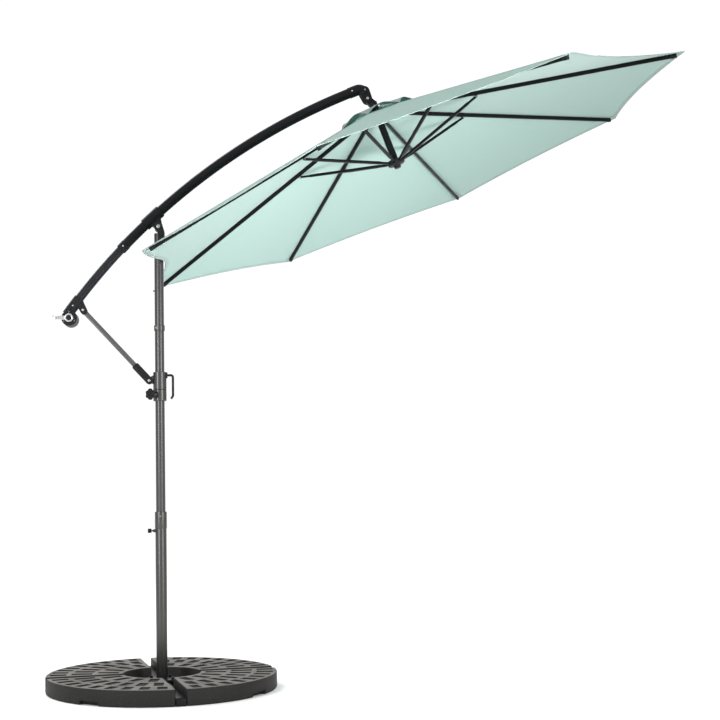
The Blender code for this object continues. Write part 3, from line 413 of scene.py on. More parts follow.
class Look:
    """A Principled material and the few node groups that these looks use."""

    def __init__(self, name, colour, roughness, metallic=0.0, **inputs):
        self.material = bpy.data.materials.new(name)
        self.material.use_nodes = True
        self.tree = self.material.node_tree
        self.surface = self.tree.nodes["Principled BSDF"]
        self.set("Base Color", (*colour, 1))
        self.set("Roughness", roughness)
        self.set("Metallic", metallic)
        for key, value in inputs.items():
            self.set(key.replace("_", " "), value)
        self.place = self.node("ShaderNodeTexCoord")["Object"]

    def feed(self, socket, value):
        """Sets an input to a value, or joins it to another node's output."""
        if isinstance(value, bpy.types.NodeSocket):
            self.tree.links.new(value, socket)
        else:
            socket.default_value = value

    def set(self, name, value):
        self.feed(self.surface.inputs[name], value)

    def before(self, name):
        """What feeds an input of the surface so far, if anything does."""
        socket = self.surface.inputs[name]
        return socket.links[0].from_socket if socket.is_linked else None

    def node(self, kind, inputs=None, **values):
        """The outputs of a new node."""
        made = self.tree.nodes.new(kind)
        for key, value in values.items():
            setattr(made, key, value)
        for key, value in (inputs or {}).items():
            self.feed(made.inputs[key], value)
        return made.outputs

    def noise(self, scale, stretch=(1, 1, 1), detail=3.0, place=None):
        """Noise from 0 to 1. scale is in cycles per metre, stretched along the axes."""
        place = self.node("ShaderNodeMapping", {"Scale": stretch, "Vector": place or self.place})["Vector"]
        return self.node("ShaderNodeTexNoise", {"Scale": scale, "Detail": detail, "Vector": place})["Fac"]

    def axes(self, vector):
        return self.node("ShaderNodeSeparateXYZ", {"Vector": vector})

    def maths(self, operation, first, second=0.0):
        return self.node("ShaderNodeMath", {0: first, 1: second}, operation=operation)["Value"]

    def ramp(self, value, low, high, to_low=0.0, to_high=1.0):
        inputs = {"Value": value, "From Min": low, "From Max": high, "To Min": to_low, "To Max": to_high}
        return self.node("ShaderNodeMapRange", inputs, interpolation_type="SMOOTHSTEP")["Result"]

    def paint(self, share, colour):
        """Lays another colour over the base colour where share is 1."""
        under = self.before("Base Color") or self.surface.inputs["Base Color"].default_value[:]
        inputs = {"A": under, "B": (*colour, 1), "Factor": share}
        self.set("Base Color", self.node("ShaderNodeMix", inputs, data_type="RGBA")["Result"])

    def shine(self, value, low, high, smooth, rough):
        """Roughness from smooth to rough as a value goes from low to high."""
        self.set("Roughness", self.ramp(value, low, high, smooth, rough))

    def bump(self, height, strength, distance):
        """Adds relief to the relief so far."""
        inputs = {"Strength": strength, "Distance": distance, "Height": height}
        if self.before("Normal"):
            inputs["Normal"] = self.before("Normal")
        self.set("Normal", self.node("ShaderNodeBump", inputs)["Normal"])


def powder_coat(name, colour, roughness, lighter_colour):
    """Baked paint: fine orange peel, faint cloudiness, and paler edges that are partly rubbed paint and
    partly a painted highlight.
    """
    look = Look(name, colour, roughness, Specular_IOR_Level=0.10)
    look.bump(look.noise(1400, detail=1.0), 0.12, 0.0001)
    clouds = look.noise(14, detail=4.0)
    look.shine(clouds, 0.35, 0.65, roughness - 0.05, roughness + 0.07)
    # A paler colour painted on sharp edges: partly rubbed paint, partly a painted highlight where light
    # catches the edges.
    edge = look.node("ShaderNodeNewGeometry")["Pointiness"]
    rubbed_and_lit_edges = look.maths("MULTIPLY", look.ramp(edge, 0.54, 0.64), look.ramp(look.noise(160), 0.4, 0.6))
    look.paint(look.maths("MULTIPLY", rubbed_and_lit_edges, 0.5), lighter_colour)
    return look.material


def drawn_metal(name, colour, light, roughness, stretch):
    """Metallic paint on drawn tube: long faint streaks along it."""
    look = Look(name, colour, roughness, 0.9)
    streaks = look.noise(90, stretch, detail=1.0)
    clouds = look.noise(5, detail=2.0)
    look.paint(look.ramp(streaks, 0.35, 0.75, 0.0, 0.25), light)
    look.paint(look.ramp(clouds, 0.55, 0.8, 0.0, 0.25), light)
    look.shine(clouds, 0.3, 0.7, roughness - 0.02, roughness + 0.04)
    return look.material


def moulded_plastic(name, colour, roughness, lighter_colour):
    look = Look(name, colour, roughness, Specular_IOR_Level=0.12)
    look.bump(look.noise(2200, detail=2.0), 0.15, 0.0001)
    clouds = look.noise(40, detail=4.0)
    look.shine(clouds, 0.35, 0.65, roughness - 0.07, roughness + 0.08)
    look.paint(look.ramp(clouds, 0.5, 0.75, 0.0, 0.4), lighter_colour)
    return look.material


def bright_steel(name, colour, roughness):
    look = Look(name, colour, roughness, 1.0)
    scuffs = look.noise(500, (1, 6, 1), detail=3.0)
    look.shine(scuffs, 0.35, 0.7, roughness - 0.05, roughness + 0.14)
    look.paint(look.ramp(look.noise(90), 0.55, 0.75, 0.0, 0.5), tuple(c * 0.6 for c in colour))
    return look.material


def cast_resin():
    """Resin-bound stone: dark and mottled, its top faces painted paler in cloudy patches, a painted light
    that leaves the recesses and sides as painted shade.
    """
    look = Look("base_resin", (0.012, 0.0116, 0.0112), 0.62, Specular_IOR_Level=0.15)
    speckle = look.noise(520, detail=4.0)
    clouds = look.noise(9, detail=5.0)
    look.paint(look.ramp(speckle, 0.55, 0.7, 0.0, 0.5), (0.075, 0.072, 0.068))
    # Painted light: only the top faces get a paler colour, patchy with cloudy noise, so the recess floors and
    # sides read as painted shade.
    top = look.ramp(look.axes(look.place)["Z"], BASE_HEIGHT - 0.0022, BASE_HEIGHT - 0.0002)
    painted_top_light = look.maths("MULTIPLY", top, look.ramp(clouds, 0.25, 0.7, 0.55, 1.0))
    look.paint(painted_top_light, (0.155, 0.147, 0.136))
    look.shine(speckle, 0.3, 0.7, 0.5, 0.75)
    look.bump(speckle, 0.35, 0.0006)
    look.bump(look.noise(60, detail=3.0), 0.15, 0.002)
    return look.material


def parasol_cloth(name, colour, through):
    """Woven polyester that lets light through. Its UV map holds metres across and along the panel."""
    thread_pitch, translucency = 0.0011, 0.45
    look = Look(name, colour, 0.78, Sheen_Weight=0.15, Sheen_Roughness=0.5)
    flat = look.node("ShaderNodeUVMap", uv_map="cloth")["UV"]
    axes, threads = look.axes(flat), []
    for axis in ("X", "Y"):
        wave = look.maths("SINE", look.maths("MULTIPLY", axes[axis], 2 * pi / thread_pitch))
        threads.append(look.maths("ABSOLUTE", wave))
    look.bump(look.maths("MULTIPLY", *threads), 0.25, 0.0002)
    slubs = look.noise(180, (1, 0.05, 1), detail=2.0, place=flat)
    look.paint(look.ramp(slubs, 0.45, 0.75, 0.0, 0.25), tuple(c * 0.93 for c in colour))
    look.bump(look.noise(5, detail=2.0), 0.25, 0.010)
    front = look.surface.outputs["BSDF"]
    back = look.node("ShaderNodeBsdfTranslucent", {"Color": (*through, 1)})["BSDF"]
    blend = look.node("ShaderNodeMixShader", {0: translucency, 1: front, 2: back})["Shader"]
    look.feed(look.tree.nodes["Material Output"].inputs["Surface"], blend)
    return look.material


def make_looks():
    charcoal = (0.0075, 0.0078, 0.0088)
    black = (0.0035, 0.0037, 0.0040)
    return {
        "arm": powder_coat("arm_charcoal", charcoal, 0.32, (0.035, 0.035, 0.037)),
        "arm_tube": drawn_metal("arm_grey", (0.018, 0.019, 0.022), (0.032, 0.032, 0.035), 0.40, (1, 1, 0.2)),
        "frame": powder_coat("frame_black", black, 0.34, (0.02, 0.02, 0.021)),
        "casting": powder_coat("casting_black", charcoal, 0.42, (0.04, 0.04, 0.04)),
        "pole": drawn_metal("pole_grey", (0.066, 0.065, 0.064), (0.090, 0.088, 0.085), 0.30, (1, 1, 0.02)),
        "brace": drawn_metal("brace_grey", (0.085, 0.085, 0.085), (0.11, 0.11, 0.11), 0.42, (1, 1, 0.2)),
        "plastic": moulded_plastic("black_plastic", (0.0070, 0.0070, 0.0075), 0.44, (0.014, 0.014, 0.015)),
        "grip": moulded_plastic("pale_plastic", (0.62, 0.62, 0.61), 0.42, (0.5, 0.5, 0.49)),
        "chrome": bright_steel("bright_steel", (0.55, 0.55, 0.56), 0.16),
        "rivet": bright_steel("dull_steel", (0.34, 0.34, 0.34), 0.30),
        "bolt": bright_steel("zinc_steel", (0.20, 0.20, 0.195), 0.30),
        "resin": cast_resin(),
        "cloth": parasol_cloth("mint_cloth", (0.345, 0.445, 0.42), (0.20, 0.44, 0.375)),
        "seam": parasol_cloth("mint_seam", (0.31, 0.41, 0.385), (0.16, 0.36, 0.31)),
    }


# ---- pieces ----


def piece(name, mesh, look, body, *nodes, slot=None, angle=38):
    """A visible piece that rides a body and stands for CAD nodes. Edges sharper than the angle stay sharp."""
    shape = linked(name, mesh)
    mesh.materials.clear()
    mesh.materials.append(LOOKS[look])
    mesh.shade_smooth()
    mesh.set_sharp_from_angle(angle=radians(angle))
    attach(shape, body)
    if nodes:
        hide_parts(*nodes)
    return shape


def kept(node, look, lip):
    """A CAD node that stays, with a better finish and softened edges."""
    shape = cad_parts[node]
    shape.data.materials.clear()
    shape.data.materials.append(LOOKS[look])
    modify(shape, "BEVEL", **softened_edges(lip, 2, 40))


def arm_slope(x):
    return asin((ARM_CENTRE.x - x) / ARM_RADIUS)


def sloped(slope, x, z):
    """A vector of x along the arm's slope and z square to it."""
    return Vector((x * cos(slope) - z * sin(slope), 0, x * sin(slope) + z * cos(slope)))


def arm_point(x):
    return ARM_CENTRE + sloped(arm_slope(x), 0, ARM_RADIUS)


def arm_path(start, end, steps):
    first, last = arm_slope(start), arm_slope(end)
    slopes = [first + (last - first) * i / steps for i in range(steps + 1)]
    return [ARM_CENTRE + sloped(a, 0, ARM_RADIUS) for a in slopes]


def along_line(origin, heading):
    return Matrix.Translation(origin) @ Matrix.Rotation(-heading, 4, "Y")


# ---- base ----


def weight_outline():
    """A quarter of the disc, less half a gap on each straight side, about +X."""
    half_gap, corner = WEIGHT_GAP / 2, WEIGHT_CORNER
    outer_turn = pi / 4 - asin((half_gap + corner) / (BASE_RADIUS - corner))
    inner_turn = pi / 4 - asin(half_gap / OPENING_RADIUS)
    points = [polar(BASE_RADIUS, -outer_turn + 2 * outer_turn * i / 72) for i in range(73)]
    centre = polar(BASE_RADIUS - corner, outer_turn)
    rounding = []
    for i in range(1, 7):
        x, y = polar(corner, outer_turn + (3 * pi / 4 - outer_turn) * i / 6)
        rounding.append((centre[0] + x, centre[1] + y))
    points += rounding
    points += [polar(OPENING_RADIUS, inner_turn - 2 * inner_turn * i / 32) for i in range(33)]
    points += [(x, -y) for x, y in reversed(rounding)]
    return points


def weight_mesh():
    slab = prism(weight_outline(), 0, BASE_HEIGHT, WEIGHT_LIP, 4)
    blocks = []
    for inner, outer, count in RECESS_BANDS:
        middle = (inner + outer) / 2
        usable = middle * pi / 2 - WEIGHT_GAP - RECESS_MARGIN
        outline = rounded_rectangle(outer - inner, RECESS_WIDTH, RECESS_CORNER, 3)
        for i in range(count):
            turn = (i - (count - 1) / 2) * usable / count / middle
            block = prism(outline, BASE_HEIGHT - RECESS_DEPTH, BASE_HEIGHT + 0.01, 0.0012)
            blocks.append(placed(block, Matrix.Rotation(turn, 4, "Z") @ Matrix.Translation((middle, 0, 0))))
    notch = box(
        (BASE_RADIUS - NOTCH_DEPTH, -NOTCH_HALF_WIDTH, -0.010),
        (BASE_RADIUS + 0.020, NOTCH_HALF_WIDTH, NOTCH_HEIGHT), 0.004,
    )
    return bevelled(cut(slab, notch, merged(*blocks)), 0.0009, 2, 50)


def build_base():
    weight = weight_mesh()
    for i in range(4):
        copy = placed(weight.copy(), Matrix.Rotation(BASE_TURN + pi / 4 + i * pi / 2, 4, "Z"))
        piece(f"weight_{i + 1}", copy, "resin", "base", f"base_weight_{i + 1}", angle=32)
    kept("cross_frame", "frame", 0.0012)
    for i in range(4):
        plug = box(
            (BASE_RADIUS - 0.020, -FOOT_WIDTH / 2, 0.0), (BASE_RADIUS - 0.0015, FOOT_WIDTH / 2, FOOT_HEIGHT),
        )
        turn = Matrix.Rotation(BASE_TURN + i * pi / 2, 4, "Z")
        piece(f"foot_plug_{i + 1}", placed(bevelled(plug, 0.003, 3), turn), "plastic", "base")


def build_lower_pole():
    tube = pipe(LOWER_RADIUS, LOWER_RADIUS - LOWER_WALL, PLATE_BOTTOM, LOWER_TOP, 0.0008)
    piece("lower_pole_tube", tube, "pole", "base", "lower_pole")
    plate = prism(rounded_rectangle(PLATE, PLATE, 0.006), PLATE_BOTTOM, PLATE_TOP, 0.0012)
    holes = [rod((0, 0, 0), (0, 0, 0.1), LOWER_RADIUS - 0.0012, 48)]
    for x in (-STUD_OFFSET, STUD_OFFSET):
        for y in (-STUD_OFFSET, STUD_OFFSET):
            holes.append(rod((x, y, 0), (x, y, 0.1), STUD_HOLE, 24))
    plate = placed(cut(plate, *holes), Matrix.Rotation(BASE_TURN, 4, "Z"))
    piece("pole_foot_plate", plate, "arm", "base")
    piece("pole_weld", weld_bead(LOWER_RADIUS, PLATE_TOP), "arm", "base")
    fit, cover, step = LOWER_RADIUS + GAP, LOWER_RADIUS + 0.0018, LOWER_TOP + GAP
    collar = ring([
        (fit, JOINT_COLLAR_BOTTOM), (cover, JOINT_COLLAR_BOTTOM), (cover, JOINT_COLLAR_TOP),
        (UPPER_RADIUS + GAP, JOINT_COLLAR_TOP), (UPPER_RADIUS + GAP, step), (fit, step),
    ], 0.0007)
    piece("joint_collar", collar, "pole", "base", "lower_collar")
    rivet = stud((0, -LOWER_RADIUS - 0.0015, 0.759), -SIDE, RIVET_RADIUS, RIVET_HEIGHT)
    piece("joint_button", rivet, "bolt", "base")
    boss = rod(
        (-LOWER_RADIUS + 0.0015, 0, KNOB_HEIGHT), (-LOWER_RADIUS - 0.007, 0, KNOB_HEIGHT), 0.0075, 36, 0.001,
    )
    piece("knob_boss", boss, "pole", "base")
    piece("pole_knob_head", small_knob(), "plastic", "pole_knob", "pole_knob")


def weld_bead(radius, height):
    """A rippled fillet round the pole's foot."""
    ripples, sunk, steps = 24, 0.001, 4
    work = bmesh.new()
    rings = []
    for turn in turns(72):
        size = 0.0030 + 0.0004 * sin(turn * ripples)
        line = []
        for k in range(steps + 1):
            up, out = polar(size, pi / 2 * k / steps)
            line.append(work.verts.new((*polar(radius - sunk + out, turn), height - sunk + up)))
        rings.append(line)
    for one, two in zip(rings, rings[1:] + rings[:1]):
        for k in range(steps):
            work.faces.new((one[k], one[k + 1], two[k + 1], two[k]))
    return finished_mesh(work)


def lobed(radius, depth, lobes):
    return [polar(radius + depth * cos(lobes * a), a) for a in turns(96)]


def small_knob():
    face = -LOWER_RADIUS - 0.0073
    head = prism(lobed(0.0097, 0.0008, 6), 0, 0.016, 0.0022, 3)
    head = placed(head, facing((face - 0.010, 0, KNOB_HEIGHT), (-1, 0, 0)))
    neck = rod((face, 0, KNOB_HEIGHT), (face - 0.004, 0, KNOB_HEIGHT), 0.0055, 28, 0.0006)
    stem = rod((-UPPER_RADIUS - 0.0005, 0, KNOB_HEIGHT), (face - 0.011, 0, KNOB_HEIGHT), 0.0030, 20)
    return merged(head, neck, stem)


# ---- upper pole ----


def build_pole():
    tube = pipe(UPPER_RADIUS, UPPER_RADIUS - UPPER_WALL, UPPER_BOTTOM, UPPER_TOP, 0.0007)
    wall, reach = Vector((-UPPER_RADIUS, 0, BUTTON_HEIGHT)), Vector((0.005, 0, 0))
    tube = cut(tube, rod(wall - reach, wall + reach, BUTTON_RADIUS + GAP, 32))
    piece("upper_pole_tube", tube, "pole", "pole", "upper_pole")
    flange, inside, outside = 0.0060, -0.0036, 0.0055
    button = turned([
        (0, inside - 0.0015), (flange, inside - 0.0015), (flange, inside), (BUTTON_RADIUS, inside),
        (BUTTON_RADIUS, outside), (0.0026, outside + 0.0015), (0, outside + 0.0015),
    ], 0.0007, 3, 36)
    button = placed(button, facing(wall, (-1, 0, 0)))
    piece("spring_button_head", button, "bolt", "spring_button", "spring_button")
    collar = ring([
        (UPPER_RADIUS + GAP, SWAGE_BOTTOM), (SWAGE_RADIUS, SWAGE_BOTTOM), (SWAGE_RADIUS, SWAGE_TOP),
        (UPPER_RADIUS + GAP, SWAGE_TOP),
    ], 0.0012, 4)
    piece("swaged_collar", collar, "pole", "pole", "pole_collar")
    aim = Vector((*polar(1, SWAGE_RIVET_TURN), 0))
    spot = Vector((0, 0, (SWAGE_BOTTOM + SWAGE_TOP) / 2)) + aim * (SWAGE_RADIUS - GAP)
    piece("collar_rivet", stud(spot, aim, RIVET_RADIUS, 0.0020), "rivet", "pole")
    kept("pole_head", "casting", 0.0012)
    bolt = cross_pin(HEAD_PIN, HEAD_PIN_RADIUS, 0.0268, 0.0088, 0.0025)
    piece("head_bolt", bolt, "rivet", "pole", "head_pin")


# ---- arm ----


def rivet_on_arm(name, x, side):
    piece(name, stud(arm_point(x) - SIDE * side, -SIDE, RIVET_RADIUS, RIVET_HEIGHT), "rivet", "arm")


def build_arm():
    upper = swept_pipe(arm_path(-0.172, 0.912, 60), UPPER_ARM, 0.0019)
    piece("arm_upper_tube", upper, "arm", "arm", "upper_arm_tube")
    swage = swept_pipe(arm_path(-0.1725, -0.148, 4), UPPER_ARM + 0.0016, 0.0018)
    piece("arm_swage", swage, "arm", "arm")
    lower = swept_pipe(arm_path(-0.394, -0.110, 20), LOWER_ARM, 0.0017)
    piece("arm_lower_tube", lower, "arm_tube", "arm", "lower_arm_tube")
    rivet_on_arm("joint_rivet", -0.160, UPPER_ARM + 0.0010)
    rivet_on_arm("end_rivet", -0.387, 0.0240)
    rivet_on_arm("elbow_rivet", 0.897, 0.0248)


def build_saddle():
    sleeve = sweep(arm_path(-0.062, 0.008, 8), circle(0.0285))
    left, right = arm_point(-0.050), arm_point(0.004)
    outline = [(right.x, right.z), (left.x, left.z)]
    for degrees in range(190, 361, 10):
        x, z = polar(0.0185, radians(degrees))
        outline.append((HEAD_PIN.x + x, HEAD_PIN.z + z))
    saddle = cut(
        cast(0.0010, sleeve, upright(prism(outline, -0.0200, 0.0200, 0.002))),
        sweep(arm_path(-0.100, 0.042, 8), circle(UPPER_ARM + GAP)),
        drill(HEAD_PIN, HEAD_PIN_RADIUS + GAP, 32),
    )
    piece("saddle_casting", saddle, "casting", "arm", "arm_saddle", angle=50)


def build_crank_housing():
    slope = arm_slope(-0.39)
    sleeve = sweep(arm_path(-0.360, -0.4155, 4), circle(0.0245))
    drum = rod(SPOOL - SIDE * 0.060, SPOOL + SIDE * 0.030, DRUM_RADIUS, 64, 0.003)
    root, end = arm_point(-0.366), BRACE_TOP + (BRACE_FOOT - BRACE_TOP).normalized() * 0.006
    ears = [link(root, end, 0.018, 0.0155, 0.0045, 0.0008, side * 0.0105) for side in (-1, 1)]
    neck = SPOOL + sloped(slope, 0, 0.0195)
    housing = cut(
        cast(0.0009, sleeve, drum, *ears),
        sweep(arm_path(-0.340, -0.3955, 4), circle(LOWER_ARM + GAP)),
        rod(SPOOL - SIDE * 0.0555, SPOOL + SIDE * 0.0260, DRUM_BORE, 48),
        rod(SPOOL - SIDE * 0.070, SPOOL - SIDE * 0.050, 0.0108, 40),
        rod(SPOOL + SIDE * 0.020, SPOOL + SIDE * 0.040, 0.0053, 24),
        rod(neck, neck + sloped(slope, 0.058, 0), CORD_BORE, 20),
        drill(BRACE_TOP, BRACE_PIN_RADIUS + GAP),
    )
    piece("winch_casting", housing, "casting", "arm", "crank_housing", angle=50)
    for i, turn in enumerate(turns(3)):
        x, z = polar(0.0265, radians(90) + turn)
        screw = stud(SPOOL + Vector((x, -0.0600, z)), -SIDE, 0.0030, 0.0014)
        piece(f"cover_screw_{i + 1}", screw, "bolt", "arm")
    bolt = cross_pin(BRACE_TOP, BRACE_PIN_RADIUS, 0.0131, 0.0060, 0.0020)
    piece("brace_bolt", bolt, "rivet", "arm", "brace_pin")


def build_crank():
    flange, core, hub = 0.0260, 0.0165, 0.0105
    spool = turned([
        (0, 0.0285), (0.0050, 0.0285), (0.0050, 0.0150), (flange, 0.0150), (flange, 0.0130),
        (core, 0.0120), (core, -0.0120), (flange, -0.0130), (flange, -0.0150),
        (hub, -0.0150), (hub, -0.0750), (0, -0.0750),
    ], 0.0008)
    spool = placed(spool, Matrix.Translation(SPOOL) @ TO_FRONT.inverted())
    piece("winch_spool", spool, "plastic", "crank", "crank_spool")
    front, back, eye, rim = 0.0720, 0.0620, 0.0108, 0.0190
    boss = ring([(rim, back), (rim, front), (eye, front), (eye, back)], 0.0025, 5)
    bar = link((0, 0), (-CRANK_REACH, 0), 0.0100, 0.0075, 0.005, 0.0012, 0.0045 - front)
    bar = cut(bar, rod((0, -0.1, 0), (0, 0, 0), 0.0115, 40))
    axle = rod((-CRANK_REACH, 0.004 - front, 0), (-CRANK_REACH, -0.1150, 0), 0.0030, 24)
    stop = stud((-CRANK_REACH, -0.1145, 0), -SIDE, 0.0055, 0.0020)
    handle = placed(merged(placed(boss, TO_FRONT), bar, axle, stop), Matrix.Translation(SPOOL))
    piece("crank_arm", handle, "chrome", "crank", "crank_handle")
    bore, near, far = 0.0033, 0.0753, 0.1140
    grip = ring([
        (bore, near), (0.0085, near), (0.0098, near + 0.008), (0.0088, near + 0.020),
        (0.0100, far - 0.006), (0.0085, far), (bore, far),
    ], 0.003, 4, 48)
    axis = Matrix.Translation(SPOOL - Vector((CRANK_REACH, 0, 0)))
    piece("crank_grip_sleeve", placed(grip, axis @ TO_FRONT), "grip", "crank_grip", "crank_grip")


def build_elbow():
    bend, bend_start, bend_end = 0.030, 0.920, radians(-70)
    start, first = arm_point(bend_start), arm_slope(bend_start)
    path = arm_path(0.884, bend_start, 6)
    for i in range(1, 25):
        turn = first + (bend_end - first) * i / 24
        step = Vector((sin(first) - sin(turn), 0, cos(turn) - cos(first)))
        path.append(start + step * bend)
    body = sweep(path, circle(0.0252))
    ears = [
        link(path[-6], CANOPY_PIVOT, 0.0250, 0.0215, 0.0065, 0.0012, side * 0.0169) for side in (-1, 1)
    ]
    over, arm_aim = arm_point(0.915), sloped(arm_slope(0.915), 1, 0)
    mast_aim = Vector((sin(CANOPY_TILT), 0, -cos(CANOPY_TILT)))
    down = CANOPY_TOP - mast_aim * 0.042
    casting = cut(
        cast(0.0009, body, *ears),
        sweep(arm_path(0.860, 0.9135, 4), circle(UPPER_ARM + GAP)),
        rod(PULLEY - SIDE * 0.0052, PULLEY + SIDE * 0.0052, 0.0198, 48),
        rod(over - arm_aim * 0.010, over + arm_aim * 0.040, CORD_BORE, 20),
        rod(down, down + mast_aim * 0.06, CORD_BORE, 20),
        drill(CANOPY_PIVOT, CANOPY_PIN_RADIUS + GAP),
        drill(PULLEY, PULLEY_PIN_RADIUS + GAP, 20),
    )
    piece("elbow_casting", casting, "casting", "arm", "elbow", angle=50)
    bolt = cross_pin(CANOPY_PIVOT, CANOPY_PIN_RADIUS, 0.0205, 0.0066, 0.0022)
    piece("elbow_bolt", bolt, "rivet", "arm", "elbow_pin")
    pin = cross_pin(PULLEY, PULLEY_PIN_RADIUS, 0.0255, 0.0046, 0.0020)
    piece("pulley_rivet", pin, "bolt", "arm", "pulley_pin")
    bore, rim, groove, half = PULLEY_PIN_RADIUS + GAP, 0.0185, 0.0160, 0.0045
    wheel = ring([
        (bore, -half), (rim, -half), (rim, -0.0038), (groove, -0.0018), (groove, 0.0018),
        (rim, 0.0038), (rim, half), (bore, half),
    ], 0.0006, 3, 48)
    wheel = placed(wheel, Matrix.Translation(PULLEY) @ TO_FRONT)
    piece("pulley_wheel", wheel, "plastic", "pulley", "elbow_pulley")


# ---- brace and clamp ----


def build_brace():
    """The brace is built along +X from its lower pin, then laid on its line."""
    line = BRACE_TOP - BRACE_FOOT
    place = along_line(BRACE_FOOT, atan2(line.z, line.x))
    z_to_x = Matrix(((0, 0, 1, 0), (1, 0, 0, 0), (0, 1, 0, 0), (0, 0, 0, 1)))
    start, end = 0.040, line.length + 0.011
    bore = prism(rounded_rectangle(0.0120, 0.0190, 0.0025), start - 0.01, end + 0.01)
    tube = cut(
        placed(prism(rounded_rectangle(0.0150, 0.0220, 0.0035), start, end, 0.0006), z_to_x),
        placed(bore, z_to_x),
        drill((line.length, 0, 0), BRACE_PIN_RADIUS + GAP),
    )
    piece("brace_flat_tube", placed(tube, place), "brace", "brace", "brace_tube")
    half, reach, slant = 0.0165, 0.096, 0.004
    outline = rounded([
        (0, -half), (reach - 0.002, -half), (reach, slant - half), (reach, half - slant),
        (reach - 0.002, half), (0, half),
    ], 0.003, 3)
    outline += [polar(half, radians(d)) for d in range(100, 261, 10)]
    socket = cut(
        upright(prism(outline, -0.0125, 0.0125, 0.0022, 3)),
        box((0.0385, -0.0078, -0.0113), (0.2, 0.0078, 0.0113)),
        box((-0.05, -0.0063, -0.03), (0.0200, 0.0063, 0.03)),
        drill((0, 0, 0), BRACE_PIN_RADIUS + GAP),
    )
    piece("brace_end_socket", placed(socket, place), "plastic", "brace", "brace_socket")
    bolt = cross_pin(BRACE_FOOT, BRACE_PIN_RADIUS, 0.0130, 0.0065, 0.0020)
    piece("clamp_bolt", bolt, "rivet", "brace", "clamp_pin")


def clamp_ring(low, high):
    return ring([(CLAMP_BORE, low), (CLAMP_RADIUS, low), (CLAMP_RADIUS, high), (CLAMP_BORE, high)], 0.0018, 4)


def build_clamp():
    tongue = cut(
        link((-0.0255, 0, 1.372), BRACE_FOOT, 0.020, 0.0115, 0.012, 0.001),
        rod((0, 0, 1.3), (0, 0, 1.45), CLAMP_RADIUS - 0.002, 48),
        drill(BRACE_FOOT, BRACE_PIN_RADIUS + GAP),
    )
    upper = merged(clamp_ring(CLAMP_SPLIT + GAP, CLAMP_TOP), tongue)
    piece("clamp_upper", upper, "pole", "clamp", "clamp_sleeve")
    aim = Vector((*polar(1, CLAMP_KNOB_TURN), 0))
    middle = Vector((0, 0, CLAMP_KNOB_HEIGHT))
    boss = rod(middle + aim * 0.026, middle + aim * 0.044, 0.0125, 40, 0.0012, 0.0105)
    lower = merged(clamp_ring(CLAMP_BOTTOM, CLAMP_SPLIT), boss)
    piece("clamp_lower", lower, "pole", "clamp", "clamp_collar")
    kept("clamp_handle", "arm", 0.0008)
    disc = prism(lobed(0.0235, 0.0022, 6), 0.052, 0.069, 0.004, 4)
    hub = turned([(0, 0.0443), (0.0095, 0.0443), (0.014, 0.054), (0, 0.054)], 0.001, 3, 40)
    stem = rod((0, 0, 0.0226), (0, 0, 0.056), 0.0050, 28)
    place = Matrix.Translation(middle) @ aim.to_track_quat("Z", "X").to_matrix().to_4x4()
    knob = placed(merged(disc, hub, stem), place)
    piece("clamp_knob_body", knob, "plastic", "clamp_knob", "clamp_knob")
    inlay = turned([(0, 0.0686), (0.0135, 0.0686), (0.0135, 0.0692), (0, 0.0692)], GAP, 2)
    piece("clamp_knob_face", placed(inlay, place), "arm", "clamp_knob", slot="black_plastic")


# ---- canopy frame ----


def rib_matrix(k):
    """Rib k's pivot axes at rest: X outwards, Z up the mast."""
    turn = Matrix.Rotation(FIRST_RIB + 2 * pi * k / RIBS, 4, "Z")
    return CANOPY @ turn @ Matrix.Translation((PIVOT_RADIUS, 0, RIB_PIVOT))


def rib_mesh(lie):
    """The bar with its pivot eye, the lug of the strut's pin and a plate on each side of the bar there."""
    path = [Vector((RIB_LENGTH * i / 40, 0, 0)) for i in range(41)]
    bar = sweep(path, rounded_rectangle(RIB_WIDTH, RIB_HEIGHT, 0.0035, 4))
    eye = link((0, 0, 0), (0.012, 0, 0), RIB_HEIGHT / 2, RIB_HEIGHT / 2, RIB_WIDTH, 0.0012)
    lug = link(STRUT_JOINT, STRUT_SHOE, 0.0060, 0.0060, 0.0040, 0.0006)
    ends = STRUT_SHOE + Vector((-0.016, 0, 0.003)), STRUT_SHOE + Vector((0.016, 0, -0.005))
    shoe = [link(*ends, 0.008, 0.008, 0.0012, 0.0003, side * 0.0066) for side in (-1, 1)]
    return merged(placed(merged(bar, eye), lie), lug, *shoe)


def rib_cap_mesh(lie):
    cap = box((RIB_LENGTH - 0.022, -0.0070, -0.0102), (RIB_LENGTH + 0.004, 0.0070, 0.0091), 0.003)
    return placed(cap, lie)


def strut_mesh():
    """A flat bar that swells to an oval tube between its ends."""
    length = (STRUT_JOINT - RUNNER_JOINT).length
    bar = cut(
        link((0, 0), (length, 0), 0.005, 0.005, 0.011, 0.0014),
        box((-0.01, -0.0023, -0.01), (0.0150, 0.0023, 0.01), 0.0004),
        drill((length, 0, 0), 0.0023, 20),
    )
    swell = ((0.030, 0.55), (0.050, 1.0), (length - 0.055, 1.0), (length - 0.030, 0.55))
    section = rounded_rectangle(0.0155, 0.0130, 0.0045, 5)
    oval = sweep([Vector((x, 0, 0)) for x, _ in swell], section, [share for _, share in swell])
    return merged(bar, oval)


